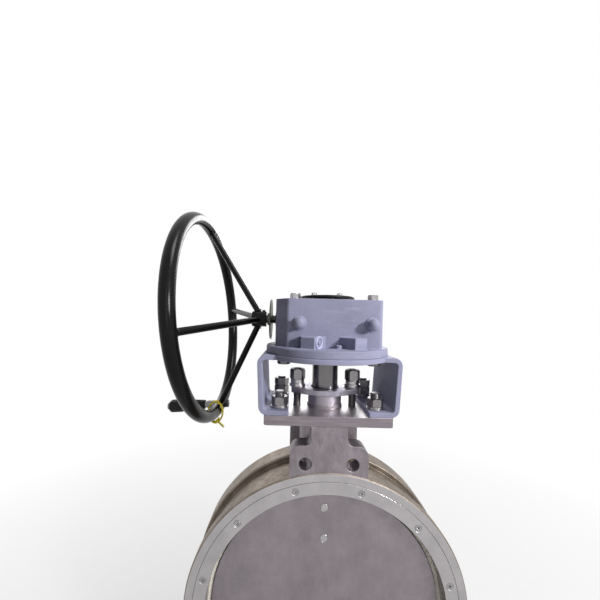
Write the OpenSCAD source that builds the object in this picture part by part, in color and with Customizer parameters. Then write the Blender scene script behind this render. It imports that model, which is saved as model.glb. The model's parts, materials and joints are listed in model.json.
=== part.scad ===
// Double eccentric butterfly valve, DN 500 wafer pattern, with mounting yoke,
// worm gearbox and handwheel.
// Frame: the bore runs along Y, the stem along Z. The origin is the centre of
// the rear gasket face, and the front gasket face is at -Y.

/* [Body ring] */
// Bore of the cast ring
bore_d = 500; // [480:2:510]
// Distance between the two gasket faces
face_to_face = 152; // [146:2:170]
// Radial width of the gasket faces
ring_wall = 40; // [36:1:48]
// Depth of the waist between the two lands
waist_depth = 12; // [9:1:16]
// Width of the rear land
rear_land = 54; // [46:1:60]
// Width of the front land
front_land = 30; // [24:1:36]
// Chamfer on the outer edges of the ring
ring_chamfer = 2.5; // [1:0.5:4]
// Sideways offset of the stem from the bore axis
lateral_offset = 4; // [2:0.5:6]

/* [Locating lugs] */
// Distance of the pipe flange bolts outside the gasket faces
lug_hole_gap = 20; // [17:1:26]
// Number of bolts in the pipe flange
flange_bolts = 20; // [20:4:24]
// Diameter of the lug holes
lug_hole_d = 26; // [22:1:30]
// Width of a lug plate
lug_w = 161; // [150:1:172]
// Thickness of a lug plate
lug_t = 40; // [30:1:46]
// Step of the lug plate behind the gasket face
lug_step = 2; // [1:0.5:4]
// Metal above the lug holes
lug_rim = 38; // [32:1:44]
// Corner radius of the lugs
lug_corner_r = 24; // [16:1:30]

/* [Neck and mounting plate] */
// Height of the mounting plate top above the lugs
neck_h = 61.8; // [54:0.2:70]
// Width of the mounting plate
plate_w = 262; // [252:1:276]
// Depth of the mounting plate
plate_depth = 164; // [158:1:172]
// Thickness of the mounting plate
plate_t = 20; // [16:1:26]
// Corner radius of the mounting plate
plate_corner_r = 8; // [3:1:14]
// Width of the front web of the neck
front_web_w = 74; // [66:1:84]
// Width of the rear web of the neck under the plate
rear_web_w = 152; // [140:1:160]
// Thickness of the webs
web_t = 34; // [26:1:40]
// Outer diameter of the stem tube
neck_d = 110; // [100:1:120]
// Fillet radius where the webs meet plate and lugs
web_fillet_r = 12; // [6:1:16]
// Outer diameter of the stuffing box
stuffing_box_d = 79; // [76:1:86]
// Height of the stuffing box above the plate
stuffing_box_h = 9; // [6:1:14]
// How far the lower stem boss reaches past the lower lugs
lower_boss_reach = 8; // [4:1:18]

/* [Stem and disc] */
// Stem diameter
stem_d = 58; // [54:1:62]
// Running clearance of the stem in its bores, radial
stem_clearance = 0.05; // [0.02:0.01:0.1]
// Distance of the sealing plane from the stem axis
axial_offset = 40; // [34:1:42]
// Thickness of the disc edge
disc_edge_t = 24; // [18:1:26]
// Diameter of the disc hubs
hub_boss_d = 92; // [84:1:98]
// Inner end of each disc hub, from the bore axis
hub_boss_start = 110; // [80:1:130]
// Gap between the end of each disc hub and the bore
hub_end_gap = 14; // [12:1:28]
// Diameter of the disc pins
disc_pin_d = 16; // [12:1:20]
// Width of the stem key
stem_key_w = 16; // [12:1:18]

/* [Seat] */
// How far the seat reaches into the bore
seat_lip = 10; // [9:1:18]
// Gap between the disc edge and the seat lip
seat_clearance = 0.5; // [0.3:0.1:0.8]
// Thickness of the seat ring
seat_t = 16; // [12:1:18]
// Radial width of the seat recess outside the bore
recess_width = 22; // [18:1:28]
// Radial gap between the turning disc and the seat retainer
retainer_clearance = 2.7; // [1.5:0.1:6]
// Number of retainer screws
retainer_screws_n = 12; // [8:4:16]
// Head diameter of the retainer screws
retainer_screw_d = 14; // [10:1:16]

/* [Gland] */
// Length of the gland flange
gland_flange_len = 152; // [146:1:160]
// Width of the gland flange
gland_flange_w = 92; // [84:1:100]
// Thickness of the gland flange
gland_flange_t = 12; // [9:1:16]
// Underside of the gland flange above the plate
gland_flange_lift = 31; // [26:1:36]
// Distance between the gland studs
gland_stud_pitch = 125; // [120:1:128]
// Diameter of the gland studs
gland_stud_d = 18; // [14:1:20]
// Diameter of the gland follower
gland_follower_d = 76; // [72:1:78]
// Height of the gland nuts
gland_nut_h = 24; // [18:1:28]
// Height of the two washers under each gland nut
gland_washer_stack = 15; // [8:1:18]

/* [Fasteners] */
// Diameter of the yoke foot studs
foot_stud_d = 20; // [16:1:22]
// Width across flats of the foot and gland nuts
nut_flats = 30; // [27:1:32]
// Height of the foot nuts
nut_h = 17; // [14:1:19]
// How far the front foot studs stand above their nuts
front_stud_end = 11; // [3:1:16]
// How far the rear foot studs stand above their upper nuts
rear_stud_end = 4; // [2:1:12]
// Diameter of the plain washers
washer_d = 36; // [34:1:38]
// Thickness of the plain washers
washer_t = 3; // [2:0.5:4]
// Diameter of the gearbox bolts
gearbox_bolt_d = 16; // [12:1:18]
// Width across flats of the gearbox bolt heads
gearbox_bolt_flats = 24; // [20:1:26]
// Head height of the gearbox bolts
gearbox_bolt_head_h = 10; // [8:1:12]

/* [Yoke] */
// Height of the yoke
yoke_h = 121; // [116:1:134]
// Width across the yoke at its top
yoke_top_w = 294; // [286:1:304]
// Width across the yoke at its feet
yoke_foot_w = 282; // [276:1:286]
// Depth of the yoke
yoke_depth = 164; // [156:1:168]
// Plate thickness of the yoke
yoke_t = 10; // [8:0.5:12]
// Outer bend radius of the yoke
yoke_bend_r = 17; // [14:1:20]
// Length of each foot, from the outer face inward
yoke_foot_len = 60; // [54:1:62]
// Distance between the foot studs across the valve
foot_pitch_x = 200; // [196:1:204]
// Distance between the foot studs along the bore
foot_pitch_y = 107; // [100:1:114]

/* [Gearbox] */
// Diameter of the gearbox base flange
base_flange_d = 269; // [262:1:282]
// Thickness of the gearbox base flange
base_flange_t = 16.5; // [13:0.5:20]
// Bolt circle of the gearbox bolts
gearbox_bolt_circle_d = 220; // [214:1:226]
// Angle of the gearbox bolts from the X axis
gearbox_bolt_angle = 32; // [28:1:36]
// Height of the gearbox, flange underside to cover top
gearbox_h = 115.5; // [108:0.5:124]
// Distance of the front wall from the stem axis
gearbox_front = 78; // [72:1:82]
// Left end of the front wall, from the stem axis
gearbox_front_left = 87.5; // [82:0.5:92]
// Right end of the gearbox, from the stem axis
gearbox_right = 107; // [100:1:108]
// Left end wall with the shaft opening, from the stem axis
gearbox_left = 113; // [108:1:118]
// Corner radius of the gearbox walls
gearbox_corner_r = 10; // [5:1:14]
// Thickness of the gearbox cover
cover_t = 9; // [6:1:12]
// Diameter of the indicator cap
indicator_d = 123; // [112:1:132]
// Thickness of the indicator cap
indicator_t = 4.8; // [4.6:0.2:8]
// Gap under the indicator cap
indicator_gap = 5.2; // [5:0.2:7]
// Diameter of the stop bolt caps
stop_cap_d = 23; // [18:1:26]
// Length of the stop bolt caps
stop_cap_len = 27; // [20:1:32]
// Height of the stop bolts above the base flange
stop_lift = 48.5; // [42:0.5:54]
// Distance between the stop bolts
stop_pitch = 147; // [138:1:150]

/* [Handwheel] */
// Height of the worm shaft above the mounting plate
shaft_lift = 193; // [188:1:198]
// Distance of the worm shaft behind the stem axis
shaft_offset = 60; // [54:1:64]
// Diameter of the worm shaft
shaft_d = 20; // [16:1:22]
// Diameter of the locking disc
locking_disc_d = 99; // [88:1:106]
// Distance of the rim plane from the stem axis
rim_plane = 282; // [274:1:292]
// Diameter of the rim at the middle of its tube
rim_d = 468; // [440:2:480]
// Tube diameter of the rim
rim_tube_d = 28.5; // [24:0.5:32]
// Lean of the rim: its top stands further out than its bottom
rim_lean = 4.5; // [0:0.5:6]
// Swing of the rim: its front stands further out than its rear
rim_swing = 1.5; // [0:0.5:4]
// Diameter of the hub
wheel_hub_d = 38; // [34:1:44]
// Length of the hub
wheel_hub_len = 34; // [28:1:40]
// Outboard end of the hub, from the stem axis
wheel_hub_end = 176; // [172:1:182]
// Diameter of the spokes
spoke_d = 15; // [12:1:17]
// Number of spokes
spokes = 4; // [3:1:5]
// Turn of the spokes from upright and level
spoke_turn = 7; // [0:1:12]
// Turn of the top spoke, which was welded in out of square
top_spoke_turn = -9; // [-14:1:6]
// Diameter of the revolving handle
handle_d = 33; // [28:1:36]
// Length of the revolving handle
handle_len = 95; // [80:1:104]
// Distance of the revolving handle from the middle of the rim tube
handle_start = 41; // [36:1:48]

/* [Hidden] */
$fn = 64;

// Seating gap between round or small loose pieces on one body
seat_gap = 0.3;
// How far a cutter reaches past the face that it cuts
over = 1;

// Ring, recess and lugs
bore_r = bore_d / 2;
ring_r = bore_r + ring_wall;
waist_r = ring_r - waist_depth;
recess_r = bore_r + recess_width;
retainer_t = face_to_face / 2 - axial_offset - seat_t / 2;
recess_depth = retainer_t + seat_t;
hole_half_angle = 180 / flange_bolts;
hole_x = (ring_r + lug_hole_gap) * sin(hole_half_angle);
hole_z = (ring_r + lug_hole_gap) * cos(hole_half_angle);
lug_top = hole_z + lug_rim;
lug_front = -face_to_face + lug_step;
lug_rear = -lug_step;
lug_foot = bore_r + 8;
lower_boss_end = lug_top + lower_boss_reach;

// Stem axis and the levels above it
stem_x = -lateral_offset;
stem_y = -face_to_face / 2;
plate_top = lug_top + neck_h;
yoke_top = plate_top + yoke_h;
base_flange_top = yoke_top + base_flange_t;
gearbox_top = yoke_top + gearbox_h;
wall_top = gearbox_top - cover_t;
shaft_z = plate_top + shaft_lift;

// Disc and seat: the disc edge is part of a ball round the stem
disc_r = bore_r - seat_lip;
disc_front = stem_y - axial_offset - disc_edge_t / 2;
disc_rear = disc_front + disc_edge_t;
seal_sphere_r = sqrt(disc_r * disc_r + axial_offset * axial_offset);
retainer_inner_r = seal_sphere_r + retainer_clearance;
hub_trim_r = seal_sphere_r - 1.3;
hub_boss_end = bore_r - hub_end_gap;
pin_heights = [hub_boss_start + 30, hub_boss_end - 31];
disc_rib_t = 16;
disc_rib_z = hub_boss_start + 24;
disc_rib_inset = 53;
disc_rib_half = disc_r - disc_rib_inset;
screw_shank_d = 8;
screw_hole_d = 8.4;
screw_head_h = 5;
screw_depth = 14;

// Key in the stem, and the relief in yoke and gearbox that it turns in
stem_key_turn = -135;
stem_key_sunk = 6;
stem_key_proud = 4;
stem_key_bottom = yoke_top - 22;
stem_key_len = 28;
stem_relief_d = stem_d + 2 * stem_key_proud + 14;
stem_relief_h = stem_key_bottom + stem_key_len - yoke_top + 6;

// Holes in the top of the stem that hold the indicator cap
cap_pin_d = 6;
cap_pin_pitch = 36;
cap_pin_depth = 2;

// Lower end of the stem
bottom_cover_t = 14;
bottom_cover_d = neck_d;
stem_bottom = -lower_boss_end + 6;
bottom_bolt_circle_d = 84;
bottom_bolts = 4;
bottom_bolt_depth = 20;
small_bolt_d = 12;
small_bolt_flats = 19;
small_bolt_head_h = 8;

// Gland
packing_bore_d = gland_follower_d + 0.1;
packing_depth = 40;
follower_reach = 12;
gland_flange_top = plate_top + gland_flange_lift + gland_flange_t;
gland_nut_z = gland_flange_top + gland_washer_stack;
gland_stud_top = gland_nut_z + gland_nut_h + 2;
gland_end_half = 17;
gland_side_half = 21;
stud_depth = 14;

// Feet
foot_nut_z = plate_top + yoke_t + 2 * washer_t;
upper_nut_z = foot_nut_z + nut_h + seat_gap;

// Gearbox
cover_bolt_inset = 12;
cover_bolt_left = 15;
cover_bolt_right = 20;
cover_bolt_head_h = 10.5;
cover_bolt_depth = 20;
stop_z = base_flange_top + stop_lift;
stop_centre_x = 9.5;
stop_thread_d = 12;
stop_depth = 20;
// Cast pads between the front wall and the base flange
pad_centre_x = 4;
pad_outer = 65;
pad_ridge = 38.5;
pad_inner = 15;
pad_ridge_reach = 35;
pad_corner_reach = 21;
pad_h = 22.5;
shaft_y = stem_y + shaft_offset;
shaft_bore_d = shaft_d + 0.1;
worm_tunnel_d = 58;
shaft_end_inset = 47;
shaft_inner_end = stem_x + gearbox_right - shaft_end_inset;
indicator_bottom = gearbox_top + indicator_gap;
indicator_screw_pitch = 58;
indicator_screw_d = 6;
indicator_screw_flats = 11;
indicator_screw_head_h = 9;
indicator_screw_socket_d = 5;
indicator_screw_socket_depth = 3;
indicator_screw_end_gap = 1.8;

// Handwheel parts along the shaft
seal_d = 34;
seal_t = 6;
seal_end = stem_x - gearbox_left - seal_t;
locking_disc_t = 3;
locking_disc_x = seal_end - 13;
locking_boss_len = 7;
hub_outer_x = stem_x - wheel_hub_end;
rim_x = stem_x - rim_plane;
rim_r = rim_d / 2;
spoke_hub_x = hub_outer_x + 12;
handle_turn = -78;
rim_centre = [rim_x, shaft_y, shaft_z];
handle_gap = 0.3;
pin_d = 12;
pin_collar_d = 20;
pin_collar_end = handle_start - 6;
pin_shoulder_d = 16;
pin_head_d = 18;
pin_head_t = 4;
tie_turn = -90;
tie_band_w = 5;
tie_band_t = 1.6;
tie_block_w = 8;
tie_block_h = 6;
tie_tail_d = 4;
tie_tail_len = 40;
tie_tail_turn = 55;

// ---- Shapes used by several parts ----

function unit(v) = v / norm(v);

// Points of the arc that rounds the corner p1 between p0 and p2
function corner_arc(p0, p1, p2, r, n = 6) =
    let (a = unit(p0 - p1), b = unit(p2 - p1), half = acos(a * b) / 2,
         centre = p1 + unit(a + b) * r / sin(half),
         start = p1 + a * r / tan(half) - centre,
         stop = p1 + b * r / tan(half) - centre,
         from = atan2(start[1], start[0]),
         turn = atan2(stop[1], stop[0]) - from,
         sweep = turn > 180 ? turn - 360 : (turn < -180 ? turn + 360 : turn))
    [for (i = [0:n]) centre + r * [cos(from + sweep * i / n), sin(from + sweep * i / n)]];

// Closed outline whose corners are rounded; a radius of 0 keeps a corner sharp
function rounded(points, radii) =
    let (n = len(points))
    [for (i = [0:n - 1])
        each radii[i] > 0
            ? corner_arc(points[(i + n - 1) % n], points[i], points[(i + 1) % n], radii[i])
            : [points[i]]];

// Move to the stem axis at the middle of the body
module at_stem() translate([stem_x, stem_y, 0]) children();

// Turn a profile of [radius, distance in front of the rear face] round the bore
module round_bore() rotate([90, 0, 0]) rotate_extrude($fn = 180) children();

// Extrude an outline drawn in X and Z, from y_front to y_rear
module slab_xz(y_front, y_rear)
    translate([0, y_rear, 0]) rotate([90, 0, 0])
        linear_extrude(height = y_rear - y_front) children();

// Round bar along Y
module bar_y(d, y_front, y_rear)
    translate([0, y_rear, 0]) rotate([90, 0, 0]) cylinder(d = d, h = y_rear - y_front);

// Round bar along X
module bar_x(d, x_left, x_right)
    translate([x_left, 0, 0]) rotate([0, 90, 0]) cylinder(d = d, h = x_right - x_left);

// Hexagon prism standing on z = 0
module hexagon(flats, h) cylinder(d = flats / cos(30), h = h, $fn = 6);

// Hexagon nut with chamfered ends, standing on z = 0
module hex_nut(flats, h, bore)
    difference() {
        intersection() {
            hexagon(flats, h);
            union() {
                cylinder(d1 = flats * 1.02, d2 = flats * 1.16, h = h * 0.14);
                translate([0, 0, h * 0.14]) cylinder(d = flats * 1.16, h = h * 0.72);
                translate([0, 0, h * 0.86])
                    cylinder(d1 = flats * 1.16, d2 = flats * 1.02, h = h * 0.14);
            }
        }
        translate([0, 0, -over]) cylinder(d = bore, h = h + 2 * over);
    }

// Hexagon bolt, head standing on z = 0 and shank running down
module hex_bolt(flats, head_h, d, shank) {
    intersection() {
        hexagon(flats, head_h);
        union() {
            cylinder(d = flats * 1.16, h = head_h * 0.8);
            translate([0, 0, head_h * 0.8])
                cylinder(d1 = flats * 1.16, d2 = flats, h = head_h * 0.2);
        }
    }
    translate([0, 0, -shank]) cylinder(d = d, h = shank + head_h / 2);
}

// Flat washer standing on z = 0
module washer(d, bore, t)
    difference() {
        cylinder(d = d, h = t);
        translate([0, 0, -over]) cylinder(d = bore, h = t + 2 * over);
    }

// Copies at the foot stud places, front side -1 and rear side 1
module each_foot(sides = [-1, 1]) at_stem()
    for (x = [-1, 1], y = sides)
        translate([x * foot_pitch_x / 2, y * foot_pitch_y / 2, 0]) children();

// Copies at the two gland stud places
module each_gland_stud() at_stem()
    for (x = [-1, 1]) translate([x * gland_stud_pitch / 2, 0, 0]) children();

// Copies at the gearbox bolts
module each_gearbox_bolt() at_stem()
    for (a = [gearbox_bolt_angle, 180 - gearbox_bolt_angle,
              180 + gearbox_bolt_angle, -gearbox_bolt_angle])
        rotate(a) translate([gearbox_bolt_circle_d / 2, 0, 0]) rotate(-a) children();

// Copies at the two pins under the indicator cap
module each_cap_pin()
    for (x = [-1, 1]) translate([x * cap_pin_pitch / 2, 0, 0]) children();

// Copies at the bolts of the bottom cover
module each_bottom_bolt() at_stem()
    for (i = [0:bottom_bolts - 1]) rotate(45 + i * 360 / bottom_bolts)
        translate([bottom_bolt_circle_d / 2, 0, 0]) children();

// Copies at the bolts of the gearbox cover
module each_cover_bolt() at_stem()
    for (x = [-gearbox_front_left + cover_bolt_left, gearbox_right - cover_bolt_right],
         y = [-1, 1] * (gearbox_front - cover_bolt_inset))
        translate([x, y, 0]) children();

// Copies at the retainer screws, with +Z pointing out of the front face
module each_retainer_screw()
    for (i = [0:retainer_screws_n - 1]) rotate([0, (i + 0.5) * 360 / retainer_screws_n, 0])
        translate([(retainer_inner_r + recess_r) / 2, -face_to_face, 0]) rotate([90, 0, 0]) children();

// ---- Valve body ----

// Outer side of the ring, from the rear face to the front face
function ring_side() =
    [[ring_r - ring_chamfer, 0], [ring_r, ring_chamfer], [ring_r, rear_land - ring_chamfer],
     [ring_r - ring_chamfer, rear_land], [waist_r, rear_land],
     [waist_r, face_to_face - front_land], [ring_r - ring_chamfer, face_to_face - front_land],
     [ring_r, face_to_face - front_land + ring_chamfer], [ring_r, face_to_face - ring_chamfer],
     [ring_r - ring_chamfer, face_to_face]];

// Everything inside the outer side of the ring, cut from what stands on it
module ring_envelope()
    round_bore() polygon(concat([[0, 0]], ring_side(), [[0, face_to_face]]));

// Stem bore through the whole valve
module stem_bore() at_stem() {
    translate([0, 0, -lower_boss_end - over])
        cylinder(d = stem_d + 2 * stem_clearance,
                 h = lower_boss_end + plate_top + stuffing_box_h + 2 * over);
}

// Locating holes for the pipe flange bolts
module lug_holes()
    for (x = [-1, 1], z = [-1, 1])
        translate([x * hole_x, 0, z * hole_z]) bar_y(lug_hole_d, -face_to_face - over, over);

// Outline of one lug plate with its web up to the mounting plate
module lug_outline(web_w)
    let (low = lug_foot, half = lug_w / 2, web = web_w / 2, top = plate_top - plate_t / 2,
         corner = min(lug_corner_r, (half - web) / 2), fillet = min(web_fillet_r, (half - web) / 2))
    polygon(rounded([[-half, low], [half, low], [half, lug_top], [web, lug_top], [web, top], [-web, top],
                     [-web, lug_top], [-half, lug_top]],
                    [0, 0, corner, fillet, 0, 0, fillet, corner]));

// Outline of one lower lug plate
module lower_lug_outline()
    let (low = lug_foot, half = lug_w / 2)
    polygon(rounded([[-half, -low], [-half, -lug_top], [half, -lug_top], [half, -low]],
                    [0, lug_corner_r, lug_corner_r, 0]));

// Concave fillets between a web and the underside of the mounting plate
module plate_fillets(web_w)
    for (side = [-1, 1])
        translate([side * web_w / 2, plate_top - plate_t])
            difference() {
                translate([side > 0 ? -over : -web_fillet_r, -web_fillet_r])
                    square([web_fillet_r + over, web_fillet_r + over]);
                translate([side * web_fillet_r, -web_fillet_r]) circle(r = web_fillet_r);
            }

// The casting is three solids that meet on the outer side of the ring

module body_ring() color([0.62, 0.60, 0.58])
    difference() {
        round_bore() polygon(concat([[bore_r, 0]], ring_side(),
                                    [[recess_r, face_to_face], [recess_r, face_to_face - recess_depth],
                                     [bore_r, face_to_face - recess_depth]]));
        stem_bore();
        each_retainer_screw() translate([0, 0, -recess_depth - screw_depth - 6])
            cylinder(d = screw_shank_d, h = screw_depth + 6 + over);
    }

module neck() color([0.62, 0.60, 0.58])
    difference() {
        union() {
            // Front and rear lug plates with their webs
            slab_xz(lug_front, lug_front + lug_t) lug_outline(front_web_w);
            slab_xz(lug_front, lug_front + web_t) plate_fillets(front_web_w);
            slab_xz(lug_rear - lug_t, lug_rear) lug_outline(rear_web_w);
            // Stem tube, mounting plate and stuffing box
            at_stem() {
                translate([0, 0, bore_r])
                    cylinder(d = neck_d, h = plate_top - plate_t / 2 - bore_r);
                translate([0, 0, plate_top - plate_t]) linear_extrude(height = plate_t)
                    polygon(rounded([[-1, -1], [1, -1], [1, 1], [-1, 1]]
                                    * [[plate_w / 2, 0], [0, plate_depth / 2]],
                                    [for (i = [1:4]) plate_corner_r]));
                translate([0, 0, plate_top - over])
                    cylinder(d = stuffing_box_d, h = stuffing_box_h + over);
            }
        }
        ring_envelope();
        stem_bore();
        lug_holes();
        at_stem() translate([0, 0, plate_top + stuffing_box_h - packing_depth])
            cylinder(d = packing_bore_d, h = packing_depth + over);
        each_gland_stud() translate([0, 0, plate_top - stud_depth])
            cylinder(d = gland_stud_d, h = stud_depth + over);
        each_foot() translate([0, 0, plate_top - plate_t - over])
            cylinder(d = foot_stud_d, h = plate_t + 2 * over);
    }

module lower_lugs() color([0.62, 0.60, 0.58])
    difference() {
        union() {
            slab_xz(lug_front, lug_front + lug_t) lower_lug_outline();
            slab_xz(lug_rear - lug_t, lug_rear) lower_lug_outline();
            at_stem() translate([0, 0, -lower_boss_end])
                cylinder(d = neck_d, h = lower_boss_end - bore_r);
        }
        ring_envelope();
        stem_bore();
        lug_holes();
        each_bottom_bolt() translate([0, 0, -lower_boss_end - over])
            cylinder(d = small_bolt_d, h = bottom_bolt_depth + 4 + over);
    }

module seat_ring() color([0.86, 0.84, 0.78])
    difference() {
        bar_y(2 * (recess_r - seat_gap), -face_to_face + retainer_t, -face_to_face + recess_depth);
        translate([0, stem_y, 0]) sphere(r = seal_sphere_r + seat_clearance, $fn = 180);
        each_retainer_screw() translate([0, 0, -recess_depth - over])
            cylinder(d = screw_hole_d, h = recess_depth);
    }

module seat_retainer() color([0.70, 0.70, 0.70])
    difference() {
        bar_y(2 * (recess_r - seat_gap), -face_to_face, -face_to_face + retainer_t);
        bar_y(2 * retainer_inner_r, -face_to_face - over, -face_to_face + retainer_t + over);
        each_retainer_screw() {
            translate([0, 0, -retainer_t - over])
                cylinder(d = screw_hole_d, h = retainer_t + 2 * over);
            translate([0, 0, -screw_head_h])
                cylinder(d1 = screw_hole_d, d2 = retainer_screw_d + 1.4, h = screw_head_h + 0.5);
        }
    }

module retainer_screws() color([0.55, 0.55, 0.56])
    each_retainer_screw()
        difference() {
            union() {
                translate([0, 0, -screw_head_h])
                    cylinder(d1 = screw_shank_d - 0.2, d2 = retainer_screw_d, h = screw_head_h - seat_gap);
                translate([0, 0, -recess_depth - screw_depth])
                    cylinder(d = screw_shank_d, h = recess_depth + screw_depth - screw_head_h + over);
            }
            translate([0, 0, -screw_head_h + 2]) hexagon(5, screw_head_h);
        }

// ---- Disc and stem ----

// Bores for the stem and the pins, cut from the disc and its hubs
module disc_bores() at_stem() {
    translate([0, 0, -bore_r]) cylinder(d = stem_d + 2 * stem_clearance, h = bore_d);
    for (side = [-1, 1], z = pin_heights)
        translate([0, 0, side * z]) bar_y(disc_pin_d + 0.1, -hub_boss_d, hub_boss_d);
}

// Plate with a ball-shaped sealing edge
module disc() color([0.66, 0.65, 0.63])
    difference() {
        intersection() {
            translate([0, stem_y, 0]) sphere(r = seal_sphere_r, $fn = 180);
            bar_y(2 * ring_r, disc_front, disc_rear);
        }
        disc_bores();
    }

// Hubs and ribs on the rear of the disc, one solid above and one below, cast with it
module disc_hubs() color([0.66, 0.65, 0.63])
    difference() {
        intersection() {
            at_stem() for (side = [-1, 1]) {
                translate([0, 0, side * (hub_boss_start + hub_boss_end) / 2]) {
                    cylinder(d = hub_boss_d, h = hub_boss_end - hub_boss_start, center = true);
                    translate([-hub_boss_d / 2, -axial_offset, -(hub_boss_end - hub_boss_start) / 2])
                        cube([hub_boss_d, axial_offset, hub_boss_end - hub_boss_start]);
                }
                translate([-disc_rib_half, -axial_offset, side * disc_rib_z - disc_rib_t / 2])
                    cube([2 * disc_rib_half, axial_offset - 4, disc_rib_t]);
            }
            translate([0, stem_y, 0]) sphere(r = hub_trim_r, $fn = 120);
            bar_y(2 * ring_r, disc_rear, disc_rear + ring_r);
        }
        disc_bores();
    }

module disc_pins() color([0.50, 0.50, 0.52])
    at_stem() for (side = [-1, 1], z = pin_heights)
        translate([0, 0, side * z])
            bar_y(disc_pin_d, disc_front - stem_y,
                  sqrt(pow(hub_boss_d / 2, 2) - pow(disc_pin_d / 2, 2)));

module stem() color([0.78, 0.78, 0.79])
    at_stem() difference() {
        translate([0, 0, stem_bottom]) {
            cylinder(d1 = stem_d - 4, d2 = stem_d, h = 2);
            translate([0, 0, 2])
                cylinder(d = stem_d, h = indicator_bottom - stem_bottom - 2);
        }
        for (side = [-1, 1], z = pin_heights)
            translate([0, 0, side * z]) bar_y(disc_pin_d + 0.1, -stem_d, stem_d);
        rotate(stem_key_turn) translate([stem_d / 2 - stem_key_sunk, -stem_key_w / 2, stem_key_bottom])
            cube([stem_d, stem_key_w, stem_key_len]);
        each_cap_pin() translate([0, 0, indicator_bottom - 20])
            cylinder(d = cap_pin_d, h = 20 + over);
    }

module stem_key() color([0.72, 0.72, 0.70])
    at_stem() rotate(stem_key_turn)
        translate([stem_d / 2 - stem_key_sunk, -stem_key_w / 2, stem_key_bottom])
        cube([stem_key_sunk + stem_key_proud, stem_key_w, stem_key_len]);

module bottom_cover() color([0.60, 0.60, 0.60])
    difference() {
        at_stem() translate([0, 0, -lower_boss_end - bottom_cover_t]) {
            cylinder(d1 = bottom_cover_d - 4, d2 = bottom_cover_d, h = 2);
            translate([0, 0, 2]) cylinder(d = bottom_cover_d, h = bottom_cover_t - 2);
            cylinder(d = stem_d - 1, h = bottom_cover_t + lower_boss_end + stem_bottom - seat_gap);
        }
        each_bottom_bolt() translate([0, 0, -lower_boss_end - bottom_cover_t - over])
            cylinder(d = small_bolt_d + 1, h = bottom_cover_t + 2 * over);
    }

module bottom_cover_bolts() color([0.75, 0.75, 0.76])
    each_bottom_bolt() translate([0, 0, -lower_boss_end - bottom_cover_t]) mirror([0, 0, 1])
        hex_bolt(small_bolt_flats, small_bolt_head_h, small_bolt_d, bottom_cover_t + bottom_bolt_depth);

// ---- Gland ----

module gland_follower() color([0.68, 0.67, 0.66])
    at_stem() difference() {
        translate([0, 0, plate_top + stuffing_box_h - follower_reach])
            cylinder(d = gland_follower_d, h = gland_flange_lift - stuffing_box_h + follower_reach);
        translate([0, 0, plate_top - packing_depth])
            cylinder(d = stem_d + 2 * stem_clearance, h = gland_flange_lift + 2 * packing_depth);
    }

// Two-bolt flange: rounded ends, with sides that swell round the stem
module gland_flange() color([0.60, 0.59, 0.61])
    difference() {
        at_stem() translate([0, 0, plate_top + gland_flange_lift]) linear_extrude(height = gland_flange_t)
            let (a = gland_flange_len / 2, b = gland_flange_w / 2, end = gland_end_half,
                 side = gland_side_half)
            polygon(rounded([[-a, -end], [-side, -b], [side, -b], [a, -end],
                             [a, end], [side, b], [-side, b], [-a, end]],
                            [8, 24, 24, 8, 8, 24, 24, 8]));
        at_stem() translate([0, 0, plate_top]) cylinder(d = stem_d + 4, h = 4 * gland_flange_lift);
        each_gland_stud() translate([0, 0, plate_top])
            cylinder(d = gland_stud_d + 1.5, h = 4 * gland_flange_lift);
    }

module gland_studs() color([0.45, 0.45, 0.47])
    each_gland_stud() translate([0, 0, plate_top - stud_depth])
        cylinder(d = gland_stud_d, h = gland_stud_top - plate_top + stud_depth);

module gland_washers() color([0.74, 0.74, 0.76])
    each_gland_stud() translate([0, 0, gland_flange_top]) {
        washer(washer_d, gland_stud_d + 0.6, gland_washer_stack / 2);
        translate([0, 0, gland_washer_stack / 2])
            washer(washer_d - 5, gland_stud_d + 0.6, gland_washer_stack / 2);
    }

module gland_nuts() color([0.70, 0.69, 0.66])
    each_gland_stud() translate([0, 0, gland_nut_z]) hex_nut(nut_flats, gland_nut_h, gland_stud_d);

// ---- Yoke ----

// Bent plate seen from the front, standing on the mounting plate
module yoke_outline()
    let (top = yoke_top_w / 2, foot = yoke_foot_w / 2, t = yoke_t, h = yoke_h, r = yoke_bend_r,
         inner_top = top - t, inner_foot = foot - t, inner_r = max(r - t, 1))
    polygon(rounded([[-foot, 0], [-foot + yoke_foot_len, 0], [-foot + yoke_foot_len, t], [-inner_foot, t],
                     [-inner_top, h - t], [inner_top, h - t], [inner_foot, t], [foot - yoke_foot_len, t],
                     [foot - yoke_foot_len, 0], [foot, 0], [top, h], [-top, h]],
                    [r, 0, 0, inner_r, inner_r, inner_r, inner_r, 0, 0, r, r, r]));

module yoke() color([0.56, 0.56, 0.68])
    difference() {
        union() {
            translate([stem_x, 0, plate_top]) slab_xz(stem_y - yoke_depth / 2, stem_y + yoke_depth / 2)
                yoke_outline();
            at_stem() translate([0, 0, yoke_top - yoke_t])
                cylinder(d = base_flange_d + 4, h = yoke_t, $fn = 120);
        }
        at_stem() translate([0, 0, yoke_top - yoke_t - over])
            cylinder(d = stem_relief_d, h = yoke_t + 2 * over);
        each_foot() translate([0, 0, plate_top - over])
            cylinder(d = foot_stud_d + 1.5, h = yoke_t + 2 * over);
        each_gearbox_bolt() translate([0, 0, yoke_top - yoke_t - over])
            cylinder(d = gearbox_bolt_d + 1.5, h = yoke_t + 2 * over);
    }

module foot_studs() color([0.72, 0.70, 0.66]) {
    each_foot([-1]) foot_stud(foot_nut_z + nut_h + front_stud_end);
    each_foot([1]) foot_stud(upper_nut_z + nut_h + rear_stud_end);
}

// Stud from the underside of the mounting plate up to the level top
module foot_stud(top)
    translate([0, 0, plate_top - plate_t]) cylinder(d = foot_stud_d, h = top - plate_top + plate_t);

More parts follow.
